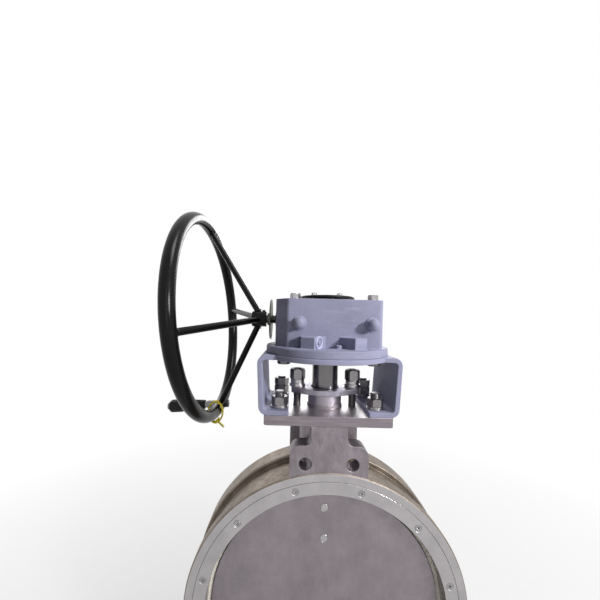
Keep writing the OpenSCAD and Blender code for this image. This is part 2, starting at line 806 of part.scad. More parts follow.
module foot_washers() color([0.74, 0.74, 0.76])
    each_foot() translate([0, 0, plate_top + yoke_t]) {
        washer(washer_d, foot_stud_d + 0.6, washer_t);
        translate([0, 0, washer_t]) washer(washer_d - 4, foot_stud_d + 0.6, washer_t);
    }

// The rear studs carry a second nut
module foot_nuts() color([0.76, 0.74, 0.70]) {
    each_foot() translate([0, 0, foot_nut_z]) hex_nut(nut_flats, nut_h, foot_stud_d);
    each_foot([1]) translate([0, 0, upper_nut_z]) hex_nut(nut_flats, nut_h, foot_stud_d);
}

module gearbox_bolts() color([0.30, 0.30, 0.32])
    each_gearbox_bolt() translate([0, 0, yoke_top - yoke_t]) mirror([0, 0, 1])
        hex_bolt(gearbox_bolt_flats, gearbox_bolt_head_h, gearbox_bolt_d,
                 yoke_t + base_flange_t - 2.5);

// ---- Gearbox ----

// Plan of the gearbox walls
module gearbox_plan()
    let (l = gearbox_left, fl = gearbox_front_left, r = gearbox_right, f = gearbox_front,
         c = gearbox_corner_r)
    polygon(rounded([[-fl, -f], [r, -f], [r, f], [-fl, f], [-l, f - 30], [-l, -f + 33]],
                    [c, c, c, c, c, c]));

// Cast pad between the front wall and the base flange, side -1 left and 1 right
module base_pad(side)
    translate([pad_centre_x, 0, base_flange_top - over]) linear_extrude(height = pad_h + over)
        polygon([[side * pad_inner, -gearbox_front], [side * pad_inner, -gearbox_front + over],
                 [side * pad_outer, -gearbox_front + over],
                 [side * pad_outer, -gearbox_front - pad_corner_reach],
                 [side * pad_ridge, -gearbox_front - pad_ridge_reach]]);

module gearbox_housing() color([0.58, 0.58, 0.70])
    difference() {
        union() {
            at_stem() {
                translate([0, 0, yoke_top]) {
                    cylinder(d = base_flange_d, h = base_flange_t - 2, $fn = 120);
                    translate([0, 0, base_flange_t - 2])
                        cylinder(d1 = base_flange_d, d2 = base_flange_d - 4, h = 2, $fn = 120);
                }
                translate([0, 0, yoke_top + base_flange_t / 2])
                    linear_extrude(height = wall_top - yoke_top - base_flange_t / 2) gearbox_plan();
                base_pad(-1);
                base_pad(1);
                // Small cast boss between the pads
                translate([pad_centre_x + pad_inner - 3, -gearbox_front - 9, base_flange_top - over])
                    cylinder(d = 14, h = 7 + over);
            }
            // Tunnel round the worm shaft
            translate([0, shaft_y, shaft_z])
                bar_x(worm_tunnel_d, stem_x - gearbox_left, stem_x + gearbox_right);
            // Bosses behind the stop bolts
            for (side = [-1, 1])
                translate([stem_x + stop_centre_x + side * stop_pitch / 2, 0, stop_z])
                    bar_y(stop_cap_d + 5, stem_y - gearbox_front - 4, stem_y - gearbox_front + over);
        }
        at_stem() translate([0, 0, yoke_top - over])
            cylinder(d = stem_d + 2 * stem_clearance, h = gearbox_h + 2 * over);
        at_stem() translate([0, 0, yoke_top - over])
            cylinder(d = stem_relief_d, h = stem_relief_h + over);
        each_gearbox_bolt() translate([0, 0, yoke_top - over])
            cylinder(d = gearbox_bolt_d, h = base_flange_t);
        each_cover_bolt() translate([0, 0, wall_top - cover_bolt_depth])
            cylinder(d = small_bolt_d, h = cover_bolt_depth + over);
        translate([0, shaft_y, shaft_z])
            bar_x(shaft_bore_d, stem_x - gearbox_left - over, shaft_inner_end + seat_gap);
        for (side = [-1, 1])
            translate([stem_x + stop_centre_x + side * stop_pitch / 2, 0, stop_z])
                bar_y(stop_thread_d, stem_y - gearbox_front - 5, stem_y - gearbox_front + stop_depth);
    }

module gearbox_cover() color([0.58, 0.58, 0.70])
    difference() {
        at_stem() translate([0, 0, wall_top]) linear_extrude(height = cover_t) gearbox_plan();
        at_stem() translate([0, 0, wall_top - over])
            cylinder(d = stem_d + 12, h = cover_t + 2 * over);
        each_cover_bolt() translate([0, 0, wall_top - over])
            cylinder(d = small_bolt_d + 1, h = cover_t + 2 * over);
    }

module cover_bolts() color([0.55, 0.55, 0.60])
    each_cover_bolt() translate([0, 0, gearbox_top])
        hex_bolt(small_bolt_flats, cover_bolt_head_h, small_bolt_d, cover_t + cover_bolt_depth - 4);

module indicator_cap() color([0.06, 0.06, 0.07])
    difference() {
        at_stem() translate([0, 0, indicator_bottom]) {
            cylinder(d = indicator_d, h = indicator_t - 2, $fn = 96);
            translate([0, 0, indicator_t - 2])
                cylinder(d1 = indicator_d, d2 = indicator_d - 4, h = 2, $fn = 96);
        }
        // Pointer groove across the cap
        at_stem() translate([-indicator_d / 2 + 8, -2.5, indicator_bottom + indicator_t - 1])
            cube([indicator_d - 16, 5, 3]);
        at_stem() each_indicator_screw() translate([0, 0, indicator_bottom + 1.5])
            cylinder(d = indicator_screw_d, h = indicator_t + over);
        at_stem() each_cap_pin() translate([0, 0, indicator_bottom - over])
            cylinder(d = cap_pin_d, h = cap_pin_depth + over);
    }

// Copies at the two screws of the indicator cap
module each_indicator_screw()
    for (x = [-1, 1]) translate([x * indicator_screw_pitch / 2, 0, 0]) children();

module indicator_screws() color([0.45, 0.45, 0.46])
    at_stem() each_indicator_screw() translate([0, 0, indicator_bottom + indicator_t])
        difference() {
            hex_bolt(indicator_screw_flats, indicator_screw_head_h, indicator_screw_d,
                     indicator_t - indicator_screw_end_gap);
            translate([0, 0, indicator_screw_head_h - indicator_screw_socket_depth])
                cylinder(d = indicator_screw_socket_d, h = indicator_screw_socket_depth + over);
        }

// Cap with a domed end, standing on z = 0
module domed_cap(d, h, dome)
    let (r = (d * d / 4 + dome * dome) / (2 * dome), half = asin(d / 2 / r))
    rotate_extrude()
        polygon(concat([[0, 0], [d / 2, 0]],
                       [for (i = [0:8])
                           [r * sin(half * (1 - i / 8)), h - r + r * cos(half * (1 - i / 8))]]));

module stop_bolt_caps() color([0.58, 0.58, 0.68])
    for (side = [-1, 1])
        translate([stem_x + stop_centre_x + side * stop_pitch / 2, stem_y - gearbox_front, stop_z]) {
            bar_y(stop_thread_d - 0.2, -5, stop_depth - over);
            translate([0, -4, 0]) rotate([90, 0, 0])
                domed_cap(stop_cap_d, stop_cap_len - 4, stop_cap_d * 0.4);
        }

module shaft_seal() color([0.12, 0.12, 0.13])
    translate([0, shaft_y, shaft_z]) difference() {
        bar_x(seal_d, seal_end, stem_x - gearbox_left);
        bar_x(shaft_bore_d, seal_end - over, stem_x - gearbox_left + over);
    }

// ---- Handwheel ----

module worm_shaft() color([0.16, 0.16, 0.17])
    translate([0, shaft_y, shaft_z]) bar_x(shaft_d, hub_outer_x, shaft_inner_end);

module locking_disc() color([0.62, 0.64, 0.60])
    translate([0, shaft_y, shaft_z]) difference() {
        union() {
            bar_x(locking_disc_d, locking_disc_x, locking_disc_x + locking_disc_t);
            bar_x(shaft_d + 10, locking_disc_x - locking_boss_len, locking_disc_x + over);
        }
        bar_x(shaft_d + 0.1, locking_disc_x - locking_boss_len - over,
              locking_disc_x + locking_disc_t + over);
        for (i = [0:11]) rotate([30 * i + 15, 0, 0]) translate([0, 0, locking_disc_d / 2 - 9])
            bar_x(9, locking_disc_x - over, locking_disc_x + locking_disc_t + over);
    }

module handwheel_hub() color([0.05, 0.05, 0.05])
    translate([0, shaft_y, shaft_z]) difference() {
        union() {
            bar_x(wheel_hub_d, hub_outer_x, hub_outer_x + wheel_hub_len);
            translate([hub_outer_x - 2, 0, 0]) rotate([0, 90, 0])
                cylinder(d1 = wheel_hub_d - 4, d2 = wheel_hub_d, h = 2);
        }
        bar_x(shaft_d + 0.1, hub_outer_x, hub_outer_x + wheel_hub_len + over);
        translate([hub_outer_x + wheel_hub_len - 7, 0, 0]) cylinder(d = 8, h = wheel_hub_d);
    }

module hub_set_screw() color([0.10, 0.10, 0.10])
    translate([hub_outer_x + wheel_hub_len - 7, shaft_y, shaft_z + shaft_d / 2 + seat_gap])
        difference() {
            cylinder(d = 8, h = wheel_hub_d / 2 - shaft_d / 2 + 3);
            translate([0, 0, wheel_hub_d / 2 - shaft_d / 2]) hexagon(4, 4);
        }

// Turn of one spoke round the shaft
function turn_of(number) = number == 0 ? top_spoke_turn : spoke_turn + number * 360 / spokes;

// Point on the middle line of the rim at a turn from the top, seen from the shaft
function rim_point(turn) =
    let (y = -rim_r * sin(turn), z = rim_r * cos(turn), x = -z * sin(rim_lean), up = z * cos(rim_lean))
    [rim_x - spoke_hub_x + x * cos(rim_swing) + y * sin(rim_swing),
     y * cos(rim_swing) - x * sin(rim_swing),
     up];

// One dished spoke from the hub to the inside of the rim
module spoke(number)
    let (turn = turn_of(number),
         start = [0, -sin(turn), cos(turn)] * wheel_hub_d / 2,
         run = rim_point(turn) - start)
    difference() {
        translate([spoke_hub_x, shaft_y, shaft_z] + start)
            rotate([0, acos(run[2] / norm(run)), atan2(run[1], run[0])])
                translate([0, 0, -spoke_d / 2])
                    cylinder(d = spoke_d, h = norm(run) + spoke_d / 2, $fn = 32);
        translate([0, shaft_y, shaft_z]) bar_x(wheel_hub_d, rim_x, 0);
        rim_body();
    }

// Frame of the leaning rim, with its centre on the shaft
module at_rim() translate(rim_centre) rotate([0, -rim_lean, -rim_swing]) children();

// Solid of the rim tube
module rim_body()
    at_rim() rotate([0, 90, 0])
        rotate_extrude($fn = 120) translate([rim_r, 0]) circle(d = rim_tube_d, $fn = 40);

module spoke_1() color([0.05, 0.05, 0.05]) spoke(0);

module spoke_2() color([0.05, 0.05, 0.05]) spoke(1);

module spoke_3() color([0.05, 0.05, 0.05]) spoke(2);

module spoke_4() color([0.05, 0.05, 0.05]) spoke(3);

// Copies at a place on the rim, with +Z pointing outward from the shaft
module on_rim(turn)
    at_rim() rotate([turn - 90, 0, 0]) translate([0, 0, rim_r]) children();

module handwheel_rim() color([0.05, 0.05, 0.05])
    difference() {
        rim_body();
        on_rim(handle_turn) bar_x(pin_d, -rim_tube_d, rim_tube_d);
    }

module handle_pin() color([0.12, 0.12, 0.12])
    difference() {
        on_rim(handle_turn) {
            bar_x(pin_d, -handle_start - handle_len - pin_head_t, rim_tube_d / 2 + 8);
            // Collar and shoulder between rim and handle, and the head at the outer end
            bar_x(pin_collar_d, -pin_collar_end, -rim_tube_d / 2 + 6);
            bar_x(pin_shoulder_d, -handle_start + handle_gap, -pin_collar_end + over);
            bar_x(pin_head_d, -handle_start - handle_len - pin_head_t,
                  -handle_start - handle_len - handle_gap);
        }
        difference() {
            rim_body();
            on_rim(handle_turn) bar_x(pin_d, -rim_tube_d, rim_tube_d);
        }
    }

module handle_nut() color([0.20, 0.20, 0.20])
    difference() {
        on_rim(handle_turn) translate([rim_tube_d / 2 - 4, 0, 0]) rotate([0, 90, 0]) hex_nut(19, 11, pin_d);
        rim_body();
    }

module revolving_handle() color([0.04, 0.04, 0.04])
    on_rim(handle_turn) translate([-handle_start, 0, 0]) rotate([0, -90, 0])
        difference() {
            rotate_extrude($fn = 64)
                polygon(rounded([[pin_d / 2 + 0.1, 0], [handle_d * 0.36, 0],
                                 [handle_d * 0.42, handle_len * 0.3],
                                 [handle_d / 2, handle_len * 0.7], [handle_d / 2, handle_len],
                                 [pin_d / 2 + 0.1, handle_len]],
                                [0, 2, 10, 10, 8, 0]));
        }

module cable_tie() color([0.75, 0.72, 0.10])
    on_rim(tie_turn) {
        tie_strap();
        translate([-tie_band_w / 2, -tie_block_w / 2, rim_tube_d / 2 + tie_band_t / 2])
            cube([tie_band_w, tie_block_w, tie_block_h]);
        translate([0, 0, rim_tube_d / 2 + tie_block_h / 2 + tie_band_t / 2])
            rotate([0, tie_tail_turn, 0]) cylinder(d = tie_tail_d, h = tie_tail_len, $fn = 24);
    }

// Strap of the tie round the rim tube
module tie_strap()
    rotate([90, 0, 0]) rotate_extrude($fn = 48)
        translate([rim_tube_d / 2 + seat_gap, -tie_band_w / 2]) square([tie_band_t, tie_band_w]);

body_ring();
neck();
lower_lugs();
seat_ring();
seat_retainer();
retainer_screws();
disc();
disc_hubs();
disc_pins();
stem();
stem_key();
bottom_cover();
bottom_cover_bolts();
gland_follower();
gland_flange();
gland_studs();
gland_washers();
gland_nuts();
yoke();
foot_studs();
foot_washers();
foot_nuts();
gearbox_bolts();
gearbox_housing();
gearbox_cover();
cover_bolts();
indicator_cap();
indicator_screws();
stop_bolt_caps();
shaft_seal();
worm_shaft();
locking_disc();
handwheel_hub();
hub_set_screw();
spoke_1();
spoke_2();
spoke_3();
spoke_4();
handwheel_rim();
handle_pin();
handle_nut();
revolving_handle();
cable_tie();
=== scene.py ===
import json
import math

import bmesh
import bpy
from bpy.props import FloatProperty, FloatVectorProperty, PointerProperty
from mathutils import Matrix, Vector
from mathutils.bvhtree import BVHTree
from mathutils.kdtree import KDTree

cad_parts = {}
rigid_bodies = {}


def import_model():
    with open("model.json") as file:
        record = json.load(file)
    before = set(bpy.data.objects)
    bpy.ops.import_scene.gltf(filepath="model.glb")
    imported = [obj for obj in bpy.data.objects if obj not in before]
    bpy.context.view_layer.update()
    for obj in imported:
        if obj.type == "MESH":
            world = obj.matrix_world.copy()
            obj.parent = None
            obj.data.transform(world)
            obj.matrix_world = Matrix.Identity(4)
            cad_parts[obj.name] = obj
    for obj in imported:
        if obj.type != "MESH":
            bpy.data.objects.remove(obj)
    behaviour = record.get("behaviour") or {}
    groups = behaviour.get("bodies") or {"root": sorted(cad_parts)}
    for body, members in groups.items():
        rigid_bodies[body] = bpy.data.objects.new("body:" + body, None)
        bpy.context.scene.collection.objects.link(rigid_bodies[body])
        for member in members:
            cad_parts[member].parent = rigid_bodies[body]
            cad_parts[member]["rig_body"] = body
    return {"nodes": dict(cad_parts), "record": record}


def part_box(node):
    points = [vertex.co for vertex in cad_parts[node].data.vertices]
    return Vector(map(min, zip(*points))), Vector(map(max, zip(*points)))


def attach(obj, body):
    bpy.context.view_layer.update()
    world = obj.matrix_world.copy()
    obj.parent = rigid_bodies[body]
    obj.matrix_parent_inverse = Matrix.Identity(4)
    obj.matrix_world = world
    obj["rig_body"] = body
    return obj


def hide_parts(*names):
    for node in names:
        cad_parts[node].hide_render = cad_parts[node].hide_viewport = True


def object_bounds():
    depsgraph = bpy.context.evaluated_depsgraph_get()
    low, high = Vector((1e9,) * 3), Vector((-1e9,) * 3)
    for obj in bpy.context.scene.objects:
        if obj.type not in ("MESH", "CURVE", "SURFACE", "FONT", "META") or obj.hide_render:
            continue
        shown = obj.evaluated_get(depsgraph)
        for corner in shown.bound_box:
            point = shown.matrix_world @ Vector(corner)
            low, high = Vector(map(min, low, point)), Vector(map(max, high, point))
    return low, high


bl_info = {
    "name": "Butterfly valve looks",
    "version": (1, 0, 0),
    "blender": (4, 5, 0),
    "location": "3D View > Sidebar > Valve",
    "description": "Dresses the packed butterfly valve with detail pieces and finishes, and sets its stage",
    "category": "Object",
}

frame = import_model()
NODES = frame["nodes"]
CAD_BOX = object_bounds()

Y_AXIS, Z_AXIS = 1, 2
ORIGIN = (0.0, 0.0, 0.0)
WHITE = (1.0, 1.0, 1.0)

# Tolerances and limits of the mesh work
SAME_POINT = 1e-6
SAME_CORNER = 1e-7
SAME_LEVEL = 1e-5
FLAT_ANGLE = math.radians(0.6)
SHARP_ANGLE = math.radians(38.0)
SQUARE_ON = 0.999
BEVEL_TRIES = 6
STRAY_WIDTHS = 0.9
RELEASE_WIDTHS = 2.5


def middle(node):
    """Centre of a node's box."""
    low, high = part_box(node)
    return (low + high) / 2


STEM_AXIS = middle("stem")
SHAFT_AXIS = middle("locking_disc")
PLATE_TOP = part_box("yoke")[0].z
HANDLE_AXIS = Vector(next(joint["axis"] for joint in frame["record"]["behaviour"]["joints"]
                          if joint["name"] == "handle_spin")).normalized()
WHEEL_RADIUS = max(math.hypot(v.co.y - SHAFT_AXIS.y, v.co.z - SHAFT_AXIS.z)
                   for v in NODES["handwheel_rim"].data.vertices)
TUBE_RADIUS = 0.01425
RIM_RADIUS = WHEEL_RADIUS - TUBE_RADIUS
SPOKES = [f"spoke_{number}" for number in range(1, 5)]


# ---- Node trees -----------------------------------------------------------

class Nodes:
    """A node tree in the making. A value is a socket, or where it says so a number or a colour."""

    def __init__(self, tree):
        self.tree = tree

    def link(self, source, target):
        self.tree.links.new(source, target)

    def node(self, kind, **settings):
        made = self.tree.nodes.new(kind)
        for key, value in settings.items():
            setattr(made, key, value)
        return made

    def math(self, operation, first, second=None):
        """Works out one number from one or two, each a number or a socket."""
        made = self.node("ShaderNodeMath", operation=operation)
        for socket, value in zip(made.inputs, (first, second)):
            if value is None:
                continue
            if isinstance(value, (int, float)):
                socket.default_value = value
            else:
                self.link(value, socket)
        return made.outputs[0]

    def spread(self, value, low, high, to_low=0.0, to_high=1.0):
        """Maps low..high of a value to to_low..to_high, clamped."""
        made = self.node("ShaderNodeMapRange")
        self.link(value, made.inputs["Value"])
        for key, number in zip(("From Min", "From Max", "To Min", "To Max"), (low, high, to_low, to_high)):
            made.inputs[key].default_value = number
        return made.outputs["Result"]

    def blend(self, factor, first, second):
        """Mixes two colours, each a tuple or a socket."""
        made = self.node("ShaderNodeMix", data_type="RGBA")
        self.link(factor, made.inputs[0])
        for socket, value in ((made.inputs[6], first), (made.inputs[7], second)):
            if isinstance(value, tuple):
                socket.default_value = (*value, 1.0)
            else:
                self.link(value, socket)
        return made.outputs[2]

    def tinge(self, tone, value, low, high, amount, colour):
        """Lays a colour over a tone, more as a value goes from low to high, by amount at most."""
        return self.blend(self.spread(value, low, high, 0.0, amount), tone, colour)

    def plain_view(self):
        """1 for camera, glossy and transmission rays, which show the surroundings; 0 for the rest."""
        path = self.node("ShaderNodeLightPath")
        seen = self.math("MAXIMUM", path.outputs["Is Camera Ray"], path.outputs["Is Glossy Ray"])
        return self.math("MAXIMUM", seen, path.outputs["Is Transmission Ray"])


class Finish(Nodes):
    """A node material in the making, read in Object coordinates."""

    def __init__(self, name):
        self.material = bpy.data.materials.new(name)
        self.material.use_nodes = True
        super().__init__(self.material.node_tree)
        self.shader = self.tree.nodes["Principled BSDF"]
        self.coords = self.node("ShaderNodeTexCoord").outputs["Object"]

    def stretched(self, scale, turn=(0, 0, 0), shift=(0, 0, 0)):
        """Coordinates stretched along the axes."""
        mapping = self.node("ShaderNodeMapping")
        self.link(self.coords, mapping.inputs["Vector"])
        mapping.inputs["Scale"].default_value = scale
        mapping.inputs["Rotation"].default_value = turn
        mapping.inputs["Location"].default_value = shift
        return mapping.outputs["Vector"]

    def noise(self, scale, detail=3.0, rough=0.55, coords=None):
        """Cloudy noise, in the object's coordinates or in stretched ones."""
        made = self.node("ShaderNodeTexNoise")
        made.inputs["Scale"].default_value = scale
        made.inputs["Detail"].default_value = detail
        made.inputs["Roughness"].default_value = rough
        self.link(coords or self.coords, made.inputs["Vector"])
        return made.outputs["Fac"]

    def cells(self, scale):
        """Outputs of a pattern of cells: Distance from each one's middle, and a Color for each."""
        made = self.node("ShaderNodeTexVoronoi", feature="F1")
        made.inputs["Scale"].default_value = scale
        self.link(self.coords, made.inputs["Vector"])
        return made.outputs

    def bump(self, height, distance, strength=1.0, normal=None):
        """Normal of a relief, over another one where that is given."""
        made = self.node("ShaderNodeBump")
        made.inputs["Distance"].default_value = distance
        made.inputs["Strength"].default_value = strength
        self.link(height, made.inputs["Height"])
        if normal is not None:
            self.link(normal, made.inputs["Normal"])
        return made.outputs["Normal"]

    def axes(self, coords):
        """X, Y and Z of coordinates."""
        split = self.node("ShaderNodeSeparateXYZ")
        self.link(coords, split.inputs[0])
        return split.outputs

    def axis_radius(self, centre, axis):
        """Distance from a line through centre along one axis."""
        parts = self.axes(self.stretched((1, 1, 1), shift=tuple(-c for c in centre)))
        squares = [self.math("MULTIPLY", parts[i], parts[i]) for i in range(3) if i != axis]
        return self.math("SQRT", self.math("ADD", *squares))

    def rings(self, distance, pitch):
        """Tool marks in waves, one to each pitch of a distance."""
        return self.math("SINE", self.math("MULTIPLY", distance, math.tau / pitch))

    def finish(self, colour, rough, normal=None, metallic=0.0, **sockets):
        """Links colour and normal, links or sets roughness, and sets plain sockets by name."""
        inputs = self.shader.inputs
        inputs["Metallic"].default_value = metallic
        self.link(colour, inputs["Base Color"])
        if isinstance(rough, float):
            inputs["Roughness"].default_value = rough
        else:
            self.link(rough, inputs["Roughness"])
        if normal is not None:
            self.link(normal, inputs["Normal"])
        for key, value in sockets.items():
            inputs[key.replace("_", " ")].default_value = value
        return self.material


# ---- Finishes -------------------------------------------------------------
# In each, rough is the middle of the roughness, and a bump's depth is in metres.

def shade(colour, factor):
    """A colour made lighter or darker."""
    return tuple(min(1.0, c * factor) for c in colour)


def enamel(name, colour, rough, peel=0.00004, wear=0.06, specular=0.25, lumps=0.00035, wisps=0.0):
    """Paint over metal: clouds of tone, orange peel, lumps of the metal under it, dust and worn wisps."""
    f = Finish(name)
    clouds = f.noise(9.0, 4.0, 0.6)
    specks = f.noise(420.0, 2.0, 0.5)
    tone = f.blend(f.spread(clouds, 0.35, 0.65), shade(colour, 1 - wear), shade(colour, 1 + wear))
    tone = f.tinge(tone, specks, 0.62, 0.80, 0.35, shade(colour, 0.72))
    if wisps:
        rubs = f.noise(1.0, 5.0, 0.68, f.stretched((16, 16, 95), (0.0, 0.07, 0.0)))
        tone = f.tinge(tone, rubs, 0.56, 0.72, wisps, shade(colour, 1.5))
        tone = f.tinge(tone, rubs, 0.40, 0.28, wisps, shade(colour, 0.72))
    dull = f.spread(f.noise(38.0, 4.0, 0.65), 0.3, 0.7, rough - 0.07, rough + 0.09)
    peel_normal = f.bump(f.noise(700.0, 2.0, 0.5), peel)
    waves = f.bump(f.noise(55.0, 3.0, 0.5), lumps, 0.6, peel_normal)
    return f.finish(tone, dull, waves, Specular_IOR_Level=specular)


def casting(name, colour, rough=0.48, smear=0.55):
    """Blasted and ground stainless casting: fine pits over slow unevenness, with stains, and lighter smears
    that are partly grinding marks and partly painted sheen.
    """
    f = Finish(name)
    clouds = f.noise(14.0, 5.0, 0.6)
    grains = f.noise(900.0, 3.0, 0.6)
    smears = f.noise(46.0, 5.0, 0.7, f.stretched((1.0, 1.0, 0.45), (0.3, 0.2, 0.1)))
    tone = f.blend(f.spread(clouds, 0.3, 0.7), shade(colour, 0.97 - 0.3 * smear), shade(colour, 1.14))
    # Lighter smears: partly grinding marks, partly painted sheen in place of soft highlights.
    tone = f.tinge(tone, smears, 0.42, 0.68, smear, shade(colour, 1.45))
    tone = f.tinge(tone, smears, 0.58, 0.34, smear / 2, shade(colour, 0.55))
    tone = f.tinge(tone, grains, 0.35, 0.75, 0.45, shade(colour, 0.62))
    dull = f.spread(f.noise(60.0, 5.0, 0.65), 0.3, 0.7, rough - 0.1, rough + 0.12)
    slow = f.bump(f.noise(70.0, 4.0, 0.55), 0.0011, 0.55)
    fine = f.bump(grains, 0.00016, 0.9, slow)
    pits = f.bump(f.spread(f.cells(520.0)["Distance"], 0.0, 0.45), 0.00008, 0.5, fine)
    return f.finish(tone, dull, pits, metallic=1.0)


def machined(name, colour, lines, rough=0.3, depth=0.00003, streaks=0.30):
    """Turned, drawn or ground metal: tool lines, given by a stretch of the coordinates."""
    f = Finish(name)
    marks = f.noise(1.0, 3.0, 0.6, f.stretched(lines))
    smears = f.noise(26.0, 4.0, 0.6)
    tone = f.blend(f.spread(smears, 0.3, 0.7), shade(colour, 0.90), shade(colour, 1.08))
    tone = f.tinge(tone, marks, 0.3, 0.7, streaks, shade(colour, 0.74 - streaks / 2))
    dull = f.spread(marks, 0.25, 0.75, rough - 0.07, rough + 0.09)
    return f.finish(tone, dull, f.bump(marks, depth, 0.8), metallic=1.0)


def turned_face(name, colour, centre, axis, pitch, rough=0.3):
    """Face turned on a lathe: fine rings round an axis through centre."""
    f = Finish(name)
    rings = f.rings(f.axis_radius(centre, axis), pitch)
    drift = f.noise(1.0, 2.0, 0.5, f.stretched((30, 30, 30)))
    tone = f.blend(f.spread(f.noise(22.0, 4.0, 0.6), 0.3, 0.7), shade(colour, 0.88), shade(colour, 1.08))
    tone = f.tinge(tone, rings, -1.0, 1.0, 0.22, shade(colour, 0.70))
    dull = f.spread(drift, 0.3, 0.7, rough - 0.05, rough + 0.08)
    return f.finish(tone, dull, f.bump(rings, 0.00003, 0.8), metallic=1.0)


def turned_shaft(name, colour, pitch, rough):
    """Round part turned on a lathe: fine rings along Z."""
    f = Finish(name)
    rings = f.rings(f.axes(f.coords)[Z_AXIS], pitch)
    smear = f.noise(24.0, 4.0, 0.6)
    tone = f.blend(f.spread(smear, 0.3, 0.7), shade(colour, 0.88), shade(colour, 1.10))
    tone = f.tinge(tone, rings, 0.0, 1.0, 0.35, shade(colour, 0.66))
    dull = f.spread(smear, 0.3, 0.7, rough - 0.05, rough + 0.08)
    return f.finish(tone, dull, f.bump(rings, 0.00004, 0.8), metallic=1.0)


def galvanised(name, colour):
    """Zinc coat: crystal flakes of slightly different tone, with pale bloom."""
    f = Finish(name)
    shades = f.node("ShaderNodeSeparateColor")
    f.link(f.cells(190.0)["Color"], shades.inputs[0])
    tone = f.blend(f.spread(shades.outputs[0], 0.0, 1.0), shade(colour, 0.72), shade(colour, 1.30))
    tone = f.tinge(tone, f.noise(60.0, 5.0, 0.65), 0.55, 0.72, 0.6, (0.22, 0.22, 0.19))
    dull = f.spread(shades.outputs[1], 0.0, 1.0, 0.32, 0.52)
    relief = f.bump(shades.outputs[2], 0.00003, 0.6)
    return f.finish(tone, dull, relief, metallic=0.4, Specular_IOR_Level=0.3)


def plastic(name, colour, rough):
    """Moulded plastic with a fine spark-eroded grain."""
    f = Finish(name)
    grain = f.noise(1500.0, 2.0, 0.5)
    tone = f.blend(f.spread(f.noise(40.0), 0.3, 0.7), shade(colour, 0.85), shade(colour, 1.2))
    dull = f.spread(f.noise(120.0, 3.0), 0.3, 0.7, rough - 0.06, rough + 0.08)
    return f.finish(tone, dull, f.bump(grain, 0.00003, 0.7), Specular_IOR_Level=0.15)


# ---- Mesh helpers ---------------------------------------------------------

def piece(name, mesh_maker, body, finishes, smooth_angle=35.0, replaces=()):
    """Makes an object at the origin from a bmesh, smooth up to an angle, on a body."""
    bm = bmesh.new()
    mesh_maker(bm)
    mesh = bpy.data.meshes.new(name)
    limit = math.radians(smooth_angle)
    for face in bm.faces:
        face.smooth = True
    for edge in bm.edges:
        edge.smooth = len(edge.link_faces) == 2 and edge.calc_face_angle(0.0) < limit
    bm.to_mesh(mesh)
    bm.free()
    made = bpy.data.objects.new(name, mesh)
    bpy.context.scene.collection.objects.link(made)
    for finish in finishes if isinstance(finishes, (list, tuple)) else (finishes,):
        made.data.materials.append(finish)
    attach(made, body)
    if replaces:
        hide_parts(*replaces)
    return made


def strays(made, tree, reach):
    """Places on the shown mesh that touch a corner thrown further out than reach."""
    bpy.context.view_layer.update()
    shown = made.evaluated_get(bpy.context.evaluated_depsgraph_get())
    mesh = shown.to_mesh()
    far = [tree.find_nearest(v.co)[3] > reach for v in mesh.vertices]
    found = []
    for edge in mesh.edges:
        first, second = edge.vertices
        if far[first] != far[second]:
            found.append(mesh.vertices[second if far[first] else first].co.copy())
    shown.to_mesh_clear()
    return found


def round_edges(made, width, segments, leave=None):
    """Rounds the sharp edges of a piece, and leaves the few that would throw a corner out."""
    bm = bmesh.new()
    bm.from_mesh(made.data)
    weight = bm.edges.layers.float.new("bevel_weight_edge")
    corners = KDTree(len(bm.verts))
    for vert in bm.verts:
        corners.insert(vert.co, vert.index)
    corners.balance()
    for edge in bm.edges:
        sharp = len(edge.link_faces) == 2 and edge.calc_face_angle(0.0) > SHARP_ANGLE
        edge[weight] = float(sharp and not (leave and leave(edge)))
    rounding = made.modifiers.new("edges", "BEVEL")
    rounding.width = width
    rounding.segments = segments
    rounding.limit_method = "WEIGHT"
    rounding.use_clamp_overlap = False
    rounding.harden_normals = True
    tree = BVHTree.FromBMesh(bm)
    bm.verts.ensure_lookup_table()
    for _ in range(BEVEL_TRIES):
        bm.to_mesh(made.data)
        found = strays(made, tree, STRAY_WIDTHS * width)
        if not found:
            break
        for place in found:
            for _, index, _ in corners.find_range(place, RELEASE_WIDTHS * width) or [corners.find(place)]:
                for edge in bm.verts[index].link_edges:
                    edge[weight] = 0.0
    else:
        made.modifiers.remove(rounding)
    bm.free()


def merge_node(bm, node):
    """Adds a CAD node to a bmesh with its loose triangles joined and its flats made whole."""
    bm.from_mesh(NODES[node].data)
    bmesh.ops.remove_doubles(bm, verts=bm.verts, dist=SAME_POINT)
    bmesh.ops.dissolve_limit(bm, angle_limit=FLAT_ANGLE, verts=bm.verts, edges=bm.edges,
                             use_dissolve_boundaries=False, delimit=set())


def finished(node, finishes, bevel=0.0, pick=None, segments=2, leave=None):
    """Stands in for a CAD node: joined, smooth on its arcs, and rounded along its edges."""
    def make(bm):
        merge_node(bm, node)
        if pick:
            for face in bm.faces:
                face.material_index = pick(face)

    made = piece(f"{node}_finished", make, NODES[node]["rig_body"], finishes, replaces=(node,))
    if bevel:
        round_edges(made, bevel, segments, leave)


def islands(node):
    """Boxes of the separate solids in a CAD node, as low and high corners."""
    bm = bmesh.new()
    bm.from_mesh(NODES[node].data)
    bmesh.ops.remove_doubles(bm, verts=bm.verts, dist=SAME_POINT)
    left, boxes = set(bm.verts), []
    while left:
        queue = [left.pop()]
        found = []
        while queue:
            vert = queue.pop()
            found.append(vert.co.copy())
            for edge in vert.link_edges:
                other = edge.other_vert(vert)
                if other in left:
                    left.remove(other)
                    queue.append(other)
        boxes.append((Vector(map(min, zip(*found))), Vector(map(max, zip(*found)))))
    bm.free()
    return sorted(boxes, key=lambda box: tuple(box[0]))


